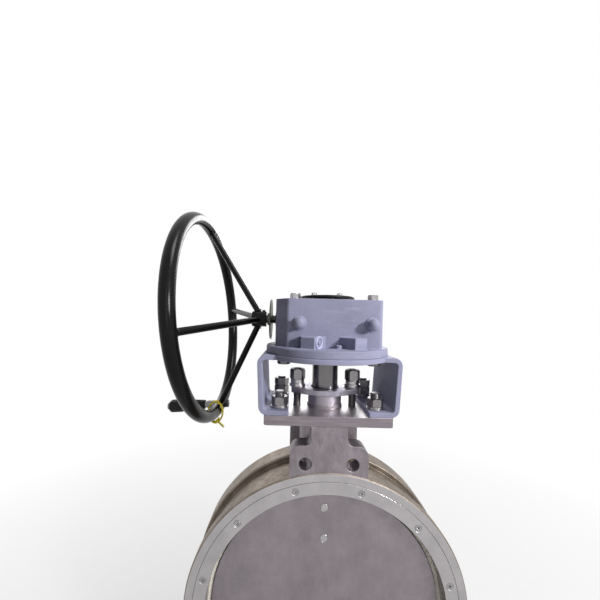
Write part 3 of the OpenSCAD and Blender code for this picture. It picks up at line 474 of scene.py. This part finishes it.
def spin(bm, geom, steps, rise=0.0):
    """Spins geometry once round Z, on a helix where it is given a rise."""
    bmesh.ops.spin(bm, geom=geom, cent=ORIGIN, axis=(0, 0, 1), angle=math.tau, steps=steps,
                   dvec=(0, 0, rise / steps), use_merge=not rise, use_duplicate=False)


def outward_and_placed(bm, place, axis):
    """Points all faces outwards, then puts the origin at a place and +Z along an axis."""
    bmesh.ops.recalc_face_normals(bm, faces=bm.faces)
    placed = Matrix.Translation(place) @ axis.to_track_quat("Z", "Y").to_matrix().to_4x4()
    bmesh.ops.transform(bm, matrix=placed, verts=bm.verts)


def turned(bm, outline, place, axis, steps=48):
    """Spins an outline of (radius, height) round an axis; points on the axis close it."""
    verts = [bm.verts.new((r, 0.0, h)) for r, h in outline]
    edges = [bm.edges.new(pair) for pair in zip(verts, verts[1:])]
    spin(bm, verts + edges, steps)
    bmesh.ops.remove_doubles(bm, verts=bm.verts, dist=SAME_CORNER)
    outward_and_placed(bm, place, axis)


def merged_in(bm, mesh_maker, *args):
    """Makes a part in a bmesh of its own and adds it to another."""
    part = bmesh.new()
    mesh_maker(part, *args)
    mesh = bpy.data.meshes.new("part")
    part.to_mesh(mesh)
    part.free()
    bm.from_mesh(mesh)
    bpy.data.meshes.remove(mesh)


def bead(bm, place, axis, radius, ripples):
    """A weld bead round a rod: a ring whose thickness ripples along the run."""
    size, sides, steps_per_ripple = 0.0040, 10, 4
    ripple, swelling = 0.05, 0.06
    verts = bmesh.ops.create_circle(bm, segments=sides, radius=size / 2)["verts"]
    bmesh.ops.rotate(bm, verts=verts, cent=ORIGIN, matrix=Matrix.Rotation(math.radians(90), 3, "X"))
    bmesh.ops.translate(bm, verts=verts, vec=(radius, 0, 0))
    spin(bm, list(bm.verts) + list(bm.edges), steps_per_ripple * ripples)
    bmesh.ops.remove_doubles(bm, verts=bm.verts, dist=SAME_CORNER)
    for vert in bm.verts:
        turn = math.atan2(vert.co.y, vert.co.x)
        thickness = 1.0 + ripple * math.sin(ripples * turn) + swelling * math.sin(3 * turn + 1.0)
        run = Vector((math.cos(turn), math.sin(turn), 0)) * radius
        vert.co = run + (vert.co - run) * thickness
    outward_and_placed(bm, place, axis)


def threaded_rod(bm, low, high):
    """A rod along Z in the box low..high with a helical thread and chamfered ends."""
    pitch, depth, end_inset, steps = 0.0025, 0.0013, 0.0004, 24
    radius = (high.x - low.x) / 2
    length = high.z - low.z
    turns = int(length / pitch) + 3  # three more than fit, cut off at both ends
    verts = []
    for i in range(2 * turns):
        verts.append(bm.verts.new((radius - (depth if i % 2 else 0.0), 0.0, (i / 2 - 1.5) * pitch)))
    edges = [bm.edges.new(pair) for pair in zip(verts, verts[1:])]
    spin(bm, verts + edges, steps, pitch)
    bmesh.ops.remove_doubles(bm, verts=bm.verts, dist=pitch / 60)
    for level, side in ((0.0, -1), (length, 1)):
        cut = bmesh.ops.bisect_plane(bm, geom=list(bm.verts) + list(bm.edges) + list(bm.faces),
                                     plane_co=(0, 0, level), plane_no=(0, 0, side), clear_outer=True)
        rim = [item for item in cut["geom_cut"] if isinstance(item, bmesh.types.BMEdge)]
        bmesh.ops.edgeloop_fill(bm, edges=rim)
    for vert in bm.verts:
        room = min(vert.co.z, length - vert.co.z)
        reach = radius - depth - end_inset + max(0.0, room)
        flat = math.hypot(vert.co.x, vert.co.y)
        if flat > reach:
            vert.co.x *= reach / flat
            vert.co.y *= reach / flat
    bmesh.ops.recalc_face_normals(bm, faces=bm.faces)
    bmesh.ops.translate(bm, verts=bm.verts, vec=((low.x + high.x) / 2, (low.y + high.y) / 2, low.z))


# ---- Settings -------------------------------------------------------------

class PaintSettings(bpy.types.PropertyGroup):
    """Colours of the painted parts."""
    housing: FloatVectorProperty(name="Housing paint", description="Enamel of gearbox and yoke",
                                 subtype="COLOR", size=3, min=0.0, max=1.0, default=(0.30, 0.30, 0.42))
    wheel: FloatVectorProperty(name="Handwheel paint", description="Gloss enamel of the handwheel",
                               subtype="COLOR", size=3, min=0.0, max=1.0,
                               default=(0.0045, 0.0038, 0.0042))


class MetalSettings(bpy.types.PropertyGroup):
    """Colours of the bare metals."""
    casting: FloatVectorProperty(name="Casting", description="Blasted stainless casting", subtype="COLOR",
                                 size=3, min=0.0, max=1.0, default=(0.265, 0.235, 0.255))
    # The ring's colour is darker and warmer than the rest of the same body casting: painted shade.
    ring: FloatVectorProperty(name="Ring", description="Blasted casting of the body ring", subtype="COLOR",
                              size=3, min=0.0, max=1.0, default=(0.215, 0.180, 0.150))
    steel: FloatVectorProperty(name="Steel", description="Machined and bright steel parts", subtype="COLOR",
                               size=3, min=0.0, max=1.0, default=(0.46, 0.44, 0.45))
    plate_thickness: FloatProperty(name="Mounting plate", description="Thickness that is ground all round",
                                   unit="LENGTH", min=0.005, max=0.04, default=0.020)


class StageSettings(bpy.types.PropertyGroup):
    """Camera, lamps and surroundings."""
    lens: FloatProperty(name="Lens", description="Focal length on a 36 mm sensor", min=8.0, max=200.0,
                        default=17.16)
    side: FloatProperty(name="Side", description="Camera place to the left of the stem", unit="LENGTH",
                        default=0.078)
    distance: FloatProperty(name="Distance", description="Camera distance in front of the stem",
                            unit="LENGTH", default=0.654)
    height: FloatProperty(name="Height", description="Camera height above the mounting plate", unit="LENGTH",
                          default=0.192)
    roll: FloatProperty(name="Roll", description="Turn of the camera about its view", subtype="ANGLE",
                        default=math.radians(1.4))
    shift: FloatVectorProperty(name="Shift", description="Lens shift in frame widths", size=2,
                               default=(0.013, 0.0335))
    key: FloatProperty(name="Key light", description="Power of the lamp at the right", unit="POWER",
                       default=68.0)
    front: FloatProperty(name="Front light", description="Power of the upright lamp beside the camera",
                         unit="POWER", default=1.8)
    top: FloatProperty(name="Top light", description="Power of the wide lamp overhead", unit="POWER",
                       default=52.0)
    back: FloatProperty(name="Back light", description="Power of the lamp behind", unit="POWER", default=42.0)
    ambient: FloatProperty(name="Ambient", description="Strength of the world on matt surfaces",
                           default=0.035)
    room: FloatVectorProperty(name="Room tint", description="Colour of the world's light on matt surfaces",
                              subtype="COLOR", size=3, min=0.0, max=1.0, default=(1.0, 0.90, 0.80))


# ---- Operators ------------------------------------------------------------

class VALVE_OT_body(bpy.types.Operator):
    """Finishes the cast body: blasted skin, turned gasket faces and milled mounting plate"""
    bl_idname = "valve.body"
    bl_label = "Body casting"

    def execute(self, context):
        metal = context.scene.valve_metal
        cast, steel = tuple(metal.casting), tuple(metal.steel)
        skin = casting("blasted body", cast, smear=0.65)
        # The ring's darker, warmer casting colour is painted shade.
        ring_skin = casting("blasted ring", tuple(metal.ring))
        gasket = turned_face("turned gasket face", steel, ORIGIN, Y_AXIS, pitch=0.0009)
        milled = machined("milled plate", shade(steel, 1.40), (40, 500, 500), rough=0.42, streaks=0.40)
        ground = machined("ground edge", shade(cast, 1.10), (14, 240, 230), rough=0.40, streaks=0.60)
        bolts = machined("cover bolts", steel, (700, 700, 700))
        low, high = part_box("body_ring")
        plate_low = PLATE_TOP - metal.plate_thickness

        def on_gasket(face):
            y = face.calc_center_median().y
            return int(abs(face.normal.y) > SQUARE_ON and min(abs(y - low.y), abs(y - high.y)) < SAME_LEVEL)

        def on_plate(face):
            centre, normal = face.calc_center_median(), face.normal
            if centre.z > PLATE_TOP - SAME_LEVEL and normal.z > SQUARE_ON:
                return 1
            return 2 if plate_low < centre.z < PLATE_TOP and abs(normal.z) < 0.5 else 0

        finished("body_ring", (ring_skin, gasket), bevel=0.0011, pick=on_gasket)
        finished("neck", (skin, milled, ground), bevel=0.0011, pick=on_plate)
        finished("lower_lugs", skin, bevel=0.0011)
        finished("bottom_cover", skin, bevel=0.0009)
        finished("bottom_cover_bolts", bolts, bevel=0.0005)
        return {"FINISHED"}


class VALVE_OT_trim(bpy.types.Operator):
    """Finishes the disc, its hubs and pins, the seat and the seat retainer with its screws"""
    bl_idname = "valve.trim"
    bl_label = "Disc and seat"

    def execute(self, context):
        metal = context.scene.valve_metal
        cast, steel = tuple(metal.casting), tuple(metal.steel)
        low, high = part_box("disc")
        radius = (high.z - low.z) / 2
        axis = Vector((STEM_AXIS.x, STEM_AXIS.y, 0.0))
        skin = casting("cast disc", shade(cast, 1.05), rough=0.42, smear=0.2)
        edge = turned_face("polished disc edge", shade(steel, 1.15), tuple(middle("disc")), Y_AXIS,
                           pitch=0.0007, rough=0.2)
        pins = machined("ground pins", steel, (500, 500, 500), rough=0.25)
        retainer = turned_face("turned retainer", steel, ORIGIN, Y_AXIS, pitch=0.0011)
        screws = machined("socket screws", shade(steel, 0.8), (800, 800, 800))
        seat = plastic("seat polymer", (0.70, 0.67, 0.58), rough=0.5)

        def on_edge(face):
            reach = (face.calc_center_median() - axis).length
            return int(reach > radius - 0.0005 and abs(face.normal.y) < 0.9)

        finished("disc", (skin, edge), bevel=0.0012, pick=on_edge)
        finished("disc_hubs", skin, bevel=0.0012)
        finished("disc_pins", pins, bevel=0.0006)
        finished("seat_retainer", retainer, bevel=0.0006)
        finished("retainer_screws", screws, bevel=0.0003)
        finished("seat_ring", seat, bevel=0.0005)
        return {"FINISHED"}


class VALVE_OT_gland(bpy.types.Operator):
    """Finishes the stem, the gland with its studs and nuts, and the studs and nuts at the yoke's foot"""
    bl_idname = "valve.gland"
    bl_label = "Stem and gland"

    def execute(self, context):
        steel = tuple(context.scene.valve_metal.steel)
        # The polished shaft's steel is darkened far below the other steel to stand in for the dark
        # surroundings it reflects: painted dark reflection.
        shaft = machined("polished shaft", shade(steel, 0.38), (25, 25, 3800), rough=0.20, depth=0.000008)
        key = machined("key steel", shade(steel, 0.9), (500, 500, 500))
        follower = turned_shaft("turned follower", (0.36, 0.33, 0.375), pitch=0.0010, rough=0.40)
        flange = casting("cast gland flange", (0.31, 0.29, 0.345), rough=0.42)
        washers = machined("washer steel", steel, (600, 600, 600))
        nuts = machined("nut steel", shade(steel, 0.56), (220, 220, 220), streaks=0.50)
        thread = machined("thread steel", shade(steel, 0.62), (380, 380, 380), rough=0.33)
        foot_washers = machined("foot washers", shade(steel, 0.8), (600, 600, 600))
        finished("stem", shaft, bevel=0.0004)
        finished("stem_key", key, bevel=0.0005)
        finished("gland_follower", follower, bevel=0.0010)
        finished("gland_flange", flange, bevel=0.0013, segments=3)
        finished("gland_washers", washers, bevel=0.0007)
        finished("gland_nuts", nuts)
        self.rods("gland_studs", thread)
        self.rods("foot_studs", thread)
        finished("foot_nuts", nuts)
        finished("foot_washers", foot_washers, bevel=0.0005)
        return {"FINISHED"}

    def rods(self, node, finish):
        """Studs with a real thread in place of a node's plain ones."""
        def make(bm):
            for low, high in islands(node):
                merged_in(bm, threaded_rod, low, high)

        piece(f"{node}_threaded", make, NODES[node]["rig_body"], finish, smooth_angle=30.0,
              replaces=(node,))


class VALVE_OT_housing(bpy.types.Operator):
    """Finishes the gearbox, its cover, caps and bolts, the indicator and the yoke"""
    bl_idname = "valve.housing"
    bl_label = "Gearbox and yoke"

    def execute(self, context):
        paint = tuple(context.scene.valve_paint.housing)
        steel = tuple(context.scene.valve_metal.steel)
        cast_paint = enamel("enamel on casting", paint, rough=0.48, peel=0.00008, wear=0.09, specular=0.11,
                            lumps=0.0010, wisps=0.45)
        plate_paint = enamel("enamel on plate", shade(paint, 1.06), rough=0.50, specular=0.09, wisps=0.25)
        # Lighter enamel for the rim of the pad's end boss: a painted highlight, standing in for light caught
        # on the rim.
        painted_highlight = enamel("rubbed enamel", shade(paint, 1.65), rough=0.40, peel=0.00006)
        cover_bolts = machined("cover screws", shade(steel, 0.75), (500, 500, 500))
        dark_bolts = machined("dark bolts", shade(steel, 0.30), (500, 500, 500), rough=0.36)
        indicator = plastic("indicator plastic", (0.010, 0.010, 0.012), rough=0.34)
        screws = machined("small screws", shade(steel, 0.8), (900, 900, 900))
        rubber = plastic("seal rubber", (0.012, 0.012, 0.012), rough=0.6)
        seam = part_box("gearbox_cover")[0].z

        def in_seam(edge):
            return max(abs(vert.co.z - seam) for vert in edge.verts) < SAME_LEVEL

        finished("gearbox_housing", cast_paint, bevel=0.0016, segments=3, leave=in_seam)
        finished("gearbox_cover", cast_paint, bevel=0.0016, segments=3, leave=in_seam)
        finished("yoke", plate_paint, bevel=0.0016, segments=3)
        self.caps(cast_paint)
        self.pad_end(cast_paint, painted_highlight)
        finished("cover_bolts", cover_bolts, bevel=0.0007)
        finished("gearbox_bolts", dark_bolts, bevel=0.0006)
        finished("indicator_cap", indicator, bevel=0.0006)
        finished("indicator_screws", screws, bevel=0.0003)
        finished("shaft_seal", rubber, bevel=0.0006)
        return {"FINISHED"}

    def caps(self, finish):
        """Turned stop caps: a barrel, a groove and a ball end."""
        node = "stop_bolt_caps"
        barrel_share, groove_share, shank_share, wide_share = 0.95, 0.86, 0.5, 0.8
        slope_start, slope_end, steps = 0.0018, 0.0010, 16
        corners = [v.co for v in NODES[node].data.vertices]

        def make(bm):
            for low, high in islands(node):
                ball = (high.x - low.x) / 2
                centre = (low + high) / 2
                barrel, groove, shank = barrel_share * ball, groove_share * ball, shank_share * ball
                wide = [co.y for co in corners if low.x <= co.x <= high.x
                        and math.hypot(co.x - centre.x, co.z - centre.z) > wide_share * ball]
                shoulder = high.y - max(wide)
                length = high.y - low.y
                ball_height = length - ball
                start = math.pi - math.asin(groove / ball)
                edge = ball_height + ball * math.cos(start)
                outline = [(0.0, 0.0), (shank, 0.0), (shank, shoulder), (barrel, shoulder),
                           (barrel, edge - slope_start), (groove, edge - slope_end)]
                for i in range(steps + 1):
                    angle = start * (1 - i / steps)
                    outline.append((ball * math.sin(angle), ball_height + ball * math.cos(angle)))
                outline[-1] = (0.0, length)
                merged_in(bm, turned, outline, Vector((centre.x, high.y, centre.z)), Vector((0, -1, 0)))

        piece("stop_caps_turned", make, "valve", finish, smooth_angle=30.0,
              replaces=(node,))

    def pad_end(self, paint, painted_highlight):
        """Round boss on the inner end of the left cast pad: a rim in lighter enamel, a painted highlight,
        round a low screw end.
        """
        least_area, below_shaft, off_middle = 0.0008, 0.02, 0.0055
        rim_inside, rim_outside, steps = 0.0092, 0.0132, 40
        outline = [(0.0, 0.0030), (0.0030, 0.0030), (0.0038, 0.0022), (0.0040, 0.0006),
                   (0.0092, 0.0006), (0.0098, 0.0024), (0.0106, 0.0030), (0.0122, 0.0030),
                   (0.0130, 0.0022), (0.0134, 0.0), (0.0130, -0.0110), (0.0, -0.0110)]

        def is_end(face):
            """True for the upright face at the foot of the front wall that looks right and forwards."""
            facing = 0.7 < face.normal.x < 0.95 and abs(face.normal.z) < 0.01 and face.normal.y < -0.3
            low_down = face.calc_center_median().z < SHAFT_AXIS.z - below_shaft
            return facing and low_down and face.calc_area() > least_area

        housing = bmesh.new()
        merge_node(housing, "gearbox_housing")
        end = next(filter(is_end, housing.faces))
        normal = end.normal.copy()
        centre = end.calc_center_median() + Vector((normal.y, -normal.x, 0.0)) * off_middle
        housing.free()

        def make(bm):
            turned(bm, outline, centre, normal, steps)
            for face in bm.faces:
                place = face.calc_center_median() - centre
                out = (place - normal * place.dot(normal)).length
                # The rim faces take the lighter enamel, a painted highlight.
                face.material_index = int(rim_inside < out < rim_outside and place.dot(normal) > 0.0)

        piece("pad_end_boss", make, "valve", (paint, painted_highlight), smooth_angle=30.0)


class VALVE_OT_handwheel(bpy.types.Operator):
    """Finishes the handwheel with its shaft, locking disc, welds, handle and tie"""
    bl_idname = "valve.handwheel"
    bl_label = "Handwheel"

    def execute(self, context):
        steel = tuple(context.scene.valve_metal.steel)
        black = enamel("wheel enamel", tuple(context.scene.valve_paint.wheel), rough=0.22, peel=0.00001,
                       specular=0.14, lumps=0.00004)
        oiled = machined("oiled steel", shade(steel, 0.12), (300, 300, 300), rough=0.33)
        pin = machined("pin steel", shade(steel, 0.45), (300, 300, 300))
        zinc = galvanised("galvanised plate", (0.105, 0.10, 0.08))
        finished("handwheel_rim", black)
        finished("handwheel_hub", black, bevel=0.0010)
        for spoke in SPOKES:
            finished(spoke, black)
        self.welds(black)
        finished("worm_shaft", oiled, bevel=0.0008)
        finished("hub_set_screw", oiled)
        finished("handle_pin", pin, bevel=0.0005)
        finished("handle_nut", oiled, bevel=0.0005)
        self.grip(plastic("grip plastic", (0.007, 0.007, 0.008), rough=0.36))
        finished("locking_disc", zinc, bevel=0.0004)
        self.tie(plastic("tie plastic", (1.0, 0.74, 0.04), rough=0.42))
        return {"FINISHED"}

    def welds(self, finish):
        """Weld beads where the spokes meet the rim and the hub."""
        at_rim, at_hub = (0.0076, 17), (0.0078, 13)
        from_rim, from_hub = 0.0005, 0.001

        def make(bm):
            for spoke in SPOKES:
                verts = [v.co.copy() for v in NODES[spoke].data.vertices]
                reach = [math.hypot(v.y - SHAFT_AXIS.y, v.z - SHAFT_AXIS.z) for v in verts]
                half = (min(reach) + max(reach)) / 2
                inner = [v for v, r in zip(verts, reach) if r < half]
                outer = [v for v, r in zip(verts, reach) if r >= half]
                inner, outer = (sum(group, Vector()) / len(group) for group in (inner, outer))
                axis = (outer - inner).normalized()
                merged_in(bm, bead, outer - axis * from_rim, axis, *at_rim)
                merged_in(bm, bead, inner + axis * from_hub, axis, *at_hub)

        piece("spoke_welds", make, "handwheel", finish, smooth_angle=60.0)

    def grip(self, finish):
        """The revolving handle, pressed in along flutes that give it its hold."""
        node = "revolving_handle"
        slices, flutes, depth, bore_reach = 24, 6, 0.0016, 0.008
        along = [v.co.dot(HANDLE_AXIS) for v in NODES[node].data.vertices]
        start, length = min(along), max(along) - min(along)
        centre = middle("handle_pin")
        side = HANDLE_AXIS.orthogonal().normalized()
        other = HANDLE_AXIS.cross(side)

        def make(bm):
            merge_node(bm, node)
            bmesh.ops.triangulate(bm, faces=bm.faces)
            for step in range(1, slices):
                cut = HANDLE_AXIS * (start + length * step / slices)
                bmesh.ops.bisect_plane(bm, geom=list(bm.verts) + list(bm.edges) + list(bm.faces),
                                       plane_co=cut, plane_no=HANDLE_AXIS)
            for vert in bm.verts:
                place = vert.co - centre
                out = place - HANDLE_AXIS * place.dot(HANDLE_AXIS)
                if out.length < bore_reach:
                    continue
                share = (vert.co.dot(HANDLE_AXIS) - start) / length
                fading = math.sin(math.pi * min(1.0, max(0.0, share))) ** 0.5
                turn = math.atan2(out.dot(other), out.dot(side))
                flute = max(0.0, math.cos(flutes * turn)) ** 2 * fading
                vert.co -= out.normalized() * depth * flute

        piece("grip_fluted", make, "handle", finish, smooth_angle=50.0, replaces=(node,))

    def tie(self, finish):
        """A loose oval strap round the rim tube with its lock block and a tail."""
        thick, width, inner = 0.0030, 0.0078, TUBE_RADIUS + 0.0010
        sag, offset, slant, steps = 0.0082, 0.0012, 0.22, 40
        low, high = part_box("handwheel_rim")
        centre = (low + high) / 2
        to_tie = middle("cable_tie") - centre
        outward = (to_tie - HANDLE_AXIS * to_tie.dot(HANDLE_AXIS)).normalized()
        along = HANDLE_AXIS.cross(outward).normalized()
        rim = centre + outward * RIM_RADIUS

        def make(bm):
            outline = [(inner, -width / 2), (inner + thick, -width / 2), (inner + thick, width / 2),
                       (inner, width / 2), (inner, -width / 2)]
            merged_in(bm, turned, outline, rim, along, steps)
            for vert in bm.verts:
                place = vert.co - rim
                vert.co += outward * (sag * place.dot(outward) / inner + offset)
                vert.co += along * slant * place.dot(HANDLE_AXIS)
            merged_in(bm, self.lock, rim + outward * (inner + sag), outward)

        made = piece("cable_tie_strap", make, "handwheel", finish, smooth_angle=40.0,
                     replaces=("cable_tie",))
        round_edges(made, 0.0003, segments=1)

    def lock(self, bm, place, outward):
        """Lock block under the loop and the tail that runs out of it to the gearbox side."""
        size, block_turn, block_place = (0.0135, 0.0085, 0.0072), math.radians(40), (0.004, 0, -0.0006)
        half, thick, bend, sweep, steps = 0.0034, 0.0028, 0.09, math.radians(-14), 10
        tail_start = Vector((0.004, 0, 0))
        tail_turn = Matrix.Rotation(math.radians(-38), 3, "Y")
        block = bmesh.ops.create_cube(bm, size=1.0)["verts"]
        bmesh.ops.scale(bm, vec=size, verts=block)
        bmesh.ops.rotate(bm, verts=block, cent=ORIGIN, matrix=Matrix.Rotation(block_turn, 3, "Y"))
        bmesh.ops.translate(bm, verts=block, vec=block_place)
        corners = ((-half, 0), (half, 0), (half, thick), (-half, thick))
        section = [bm.verts.new((tail_start.x, y, z)) for y, z in corners]
        face = bm.faces.new(section)
        bmesh.ops.rotate(bm, verts=section, cent=tail_start, matrix=tail_turn)
        bmesh.ops.spin(bm, geom=[face], cent=tail_start + tail_turn @ Vector((0, 0, bend)), axis=(0, 1, 0),
                       angle=sweep, steps=steps, dvec=ORIGIN, use_merge=False, use_duplicate=False)
        bmesh.ops.recalc_face_normals(bm, faces=bm.faces)
        turn = Matrix((-HANDLE_AXIS, outward.cross(-HANDLE_AXIS), outward)).transposed().to_4x4()
        bmesh.ops.transform(bm, matrix=Matrix.Translation(place) @ turn, verts=bm.verts)


class VALVE_OT_stage(bpy.types.Operator):
    """Sets up the camera, the lamps, the floor and the world"""
    bl_idname = "valve.stage"
    bl_label = "Stage"

    def execute(self, context):
        s = context.scene.valve_stage
        self.camera(context.scene, s)
        far_side = s.back / 5
        for name, place, power, size in (("key", (1.95, -1.88, 1.40), s.key, (0.4, 0.4)),
                                         ("front", (0.15, -1.60, 0.90), s.front, (0.25, 0.9)),
                                         ("top", (1.1, -0.7, 3.2), s.top, (1.2, 1.2)),
                                         ("back", (0.5, 2.6, 1.9), s.back, (1.6, 1.2)),
                                         ("far side", (-1.5, 2.3, 1.3), far_side, (1.2, 1.2))):
            self.lamp(name, Vector(place), power, size)
        self.floor()
        self.world(context.scene, s)
        context.scene.view_settings.view_transform = "Standard"
        return {"FINISHED"}

    def camera(self, scene, s):
        """The camera, in front of the valve and a little to its left."""
        lens = bpy.data.cameras.new("camera")
        lens.lens = s.lens
        lens.sensor_width = 36.0
        lens.shift_x, lens.shift_y = s.shift
        lens.clip_start, lens.clip_end = 0.01, 100.0
        made = bpy.data.objects.new("camera", lens)
        scene.collection.objects.link(made)
        place = Vector((STEM_AXIS.x - s.side, STEM_AXIS.y - s.distance, PLATE_TOP + s.height))
        made.matrix_world = (Matrix.Translation(place) @ Matrix.Rotation(math.radians(90), 4, "X")
                             @ Matrix.Rotation(s.roll, 4, "Z"))
        scene.camera = made

    def lamp(self, name, place, power, size):
        """An oblong lamp aimed at the front of the yoke."""
        target = Vector((0.0, -0.1, 0.5))
        light = bpy.data.lights.new(name, "AREA")
        light.energy = power
        light.shape = "RECTANGLE"
        light.size, light.size_y = size
        made = bpy.data.objects.new(name, light)
        bpy.context.scene.collection.objects.link(made)
        aim = (target - place).to_track_quat("-Z", "Y").to_matrix().to_4x4()
        made.matrix_world = Matrix.Translation(place) @ aim

    def floor(self):
        """Pale paper under the valve: to the camera it goes white further out, and it keeps the shadow."""
        half_side, gap = 15.0, 0.001
        bm = bmesh.new()
        bmesh.ops.create_grid(bm, x_segments=1, y_segments=1, size=half_side)
        bmesh.ops.translate(bm, verts=bm.verts, vec=(0, 0, CAD_BOX[0][2] - gap))
        mesh = bpy.data.meshes.new("floor")
        bm.to_mesh(mesh)
        bm.free()
        floor = bpy.data.objects.new("floor", mesh)
        bpy.context.scene.collection.objects.link(floor)
        f = Finish("floor paper")
        fibres = f.noise(60.0, 4.0)
        f.finish(f.blend(f.spread(fibres, 0.3, 0.7), (0.60, 0.60, 0.60), (0.66, 0.66, 0.66)), 0.9)
        far = f.spread(f.axis_radius(ORIGIN, Z_AXIS), 0.5, 1.9, 0.62, 1.0)
        mix = f.node("ShaderNodeMixShader")
        f.link(f.math("MULTIPLY", f.plain_view(), far), mix.inputs[0])
        f.link(f.shader.outputs[0], mix.inputs[1])
        f.link(f.node("ShaderNodeEmission").outputs[0], mix.inputs[2])
        f.link(mix.outputs[0], f.tree.nodes["Material Output"].inputs["Surface"])
        mesh.materials.append(f.material)

    def world(self, scene, s):
        """Surroundings that show white, and light matt surfaces weakly with the room's tint."""
        world = bpy.data.worlds.new("studio")
        scene.world = world
        world.use_nodes = True
        nodes = Nodes(world.node_tree)
        background = nodes.tree.nodes["Background"]
        seen = nodes.plain_view()
        nodes.link(nodes.spread(seen, 0.0, 1.0, s.ambient, 1.0), background.inputs["Strength"])
        nodes.link(nodes.blend(seen, tuple(s.room), WHITE), background.inputs["Color"])


class VALVE_PT_panel(bpy.types.Panel):
    """Buttons for the valve's pieces"""
    bl_idname = "VALVE_PT_panel"
    bl_label = "Butterfly valve"
    bl_space_type = "VIEW_3D"
    bl_region_type = "UI"
    bl_category = "Valve"

    def draw(self, context):
        for operator in OPERATORS:
            self.layout.operator(operator.bl_idname)
        for group in (context.scene.valve_paint, context.scene.valve_metal, context.scene.valve_stage):
            for key in group.bl_rna.properties.keys():
                if key not in ("rna_type", "name"):
                    self.layout.prop(group, key)


OPERATORS = (VALVE_OT_stage, VALVE_OT_body, VALVE_OT_trim, VALVE_OT_gland, VALVE_OT_housing,
             VALVE_OT_handwheel)
GROUPS = {"valve_paint": PaintSettings, "valve_metal": MetalSettings, "valve_stage": StageSettings}


def register():
    for cls in (*GROUPS.values(), *OPERATORS, VALVE_PT_panel):
        bpy.utils.register_class(cls)
    for key, cls in GROUPS.items():
        setattr(bpy.types.Scene, key, PointerProperty(type=cls))


def unregister():
    for key in GROUPS:
        delattr(bpy.types.Scene, key)
    for cls in (VALVE_PT_panel, *reversed(OPERATORS), *reversed(GROUPS.values())):
        bpy.utils.unregister_class(cls)


def main():
    register()
    for operator in OPERATORS:
        group, name = operator.bl_idname.split(".")
        getattr(getattr(bpy.ops, group), name)()


if __name__ == "__main__":
    main()
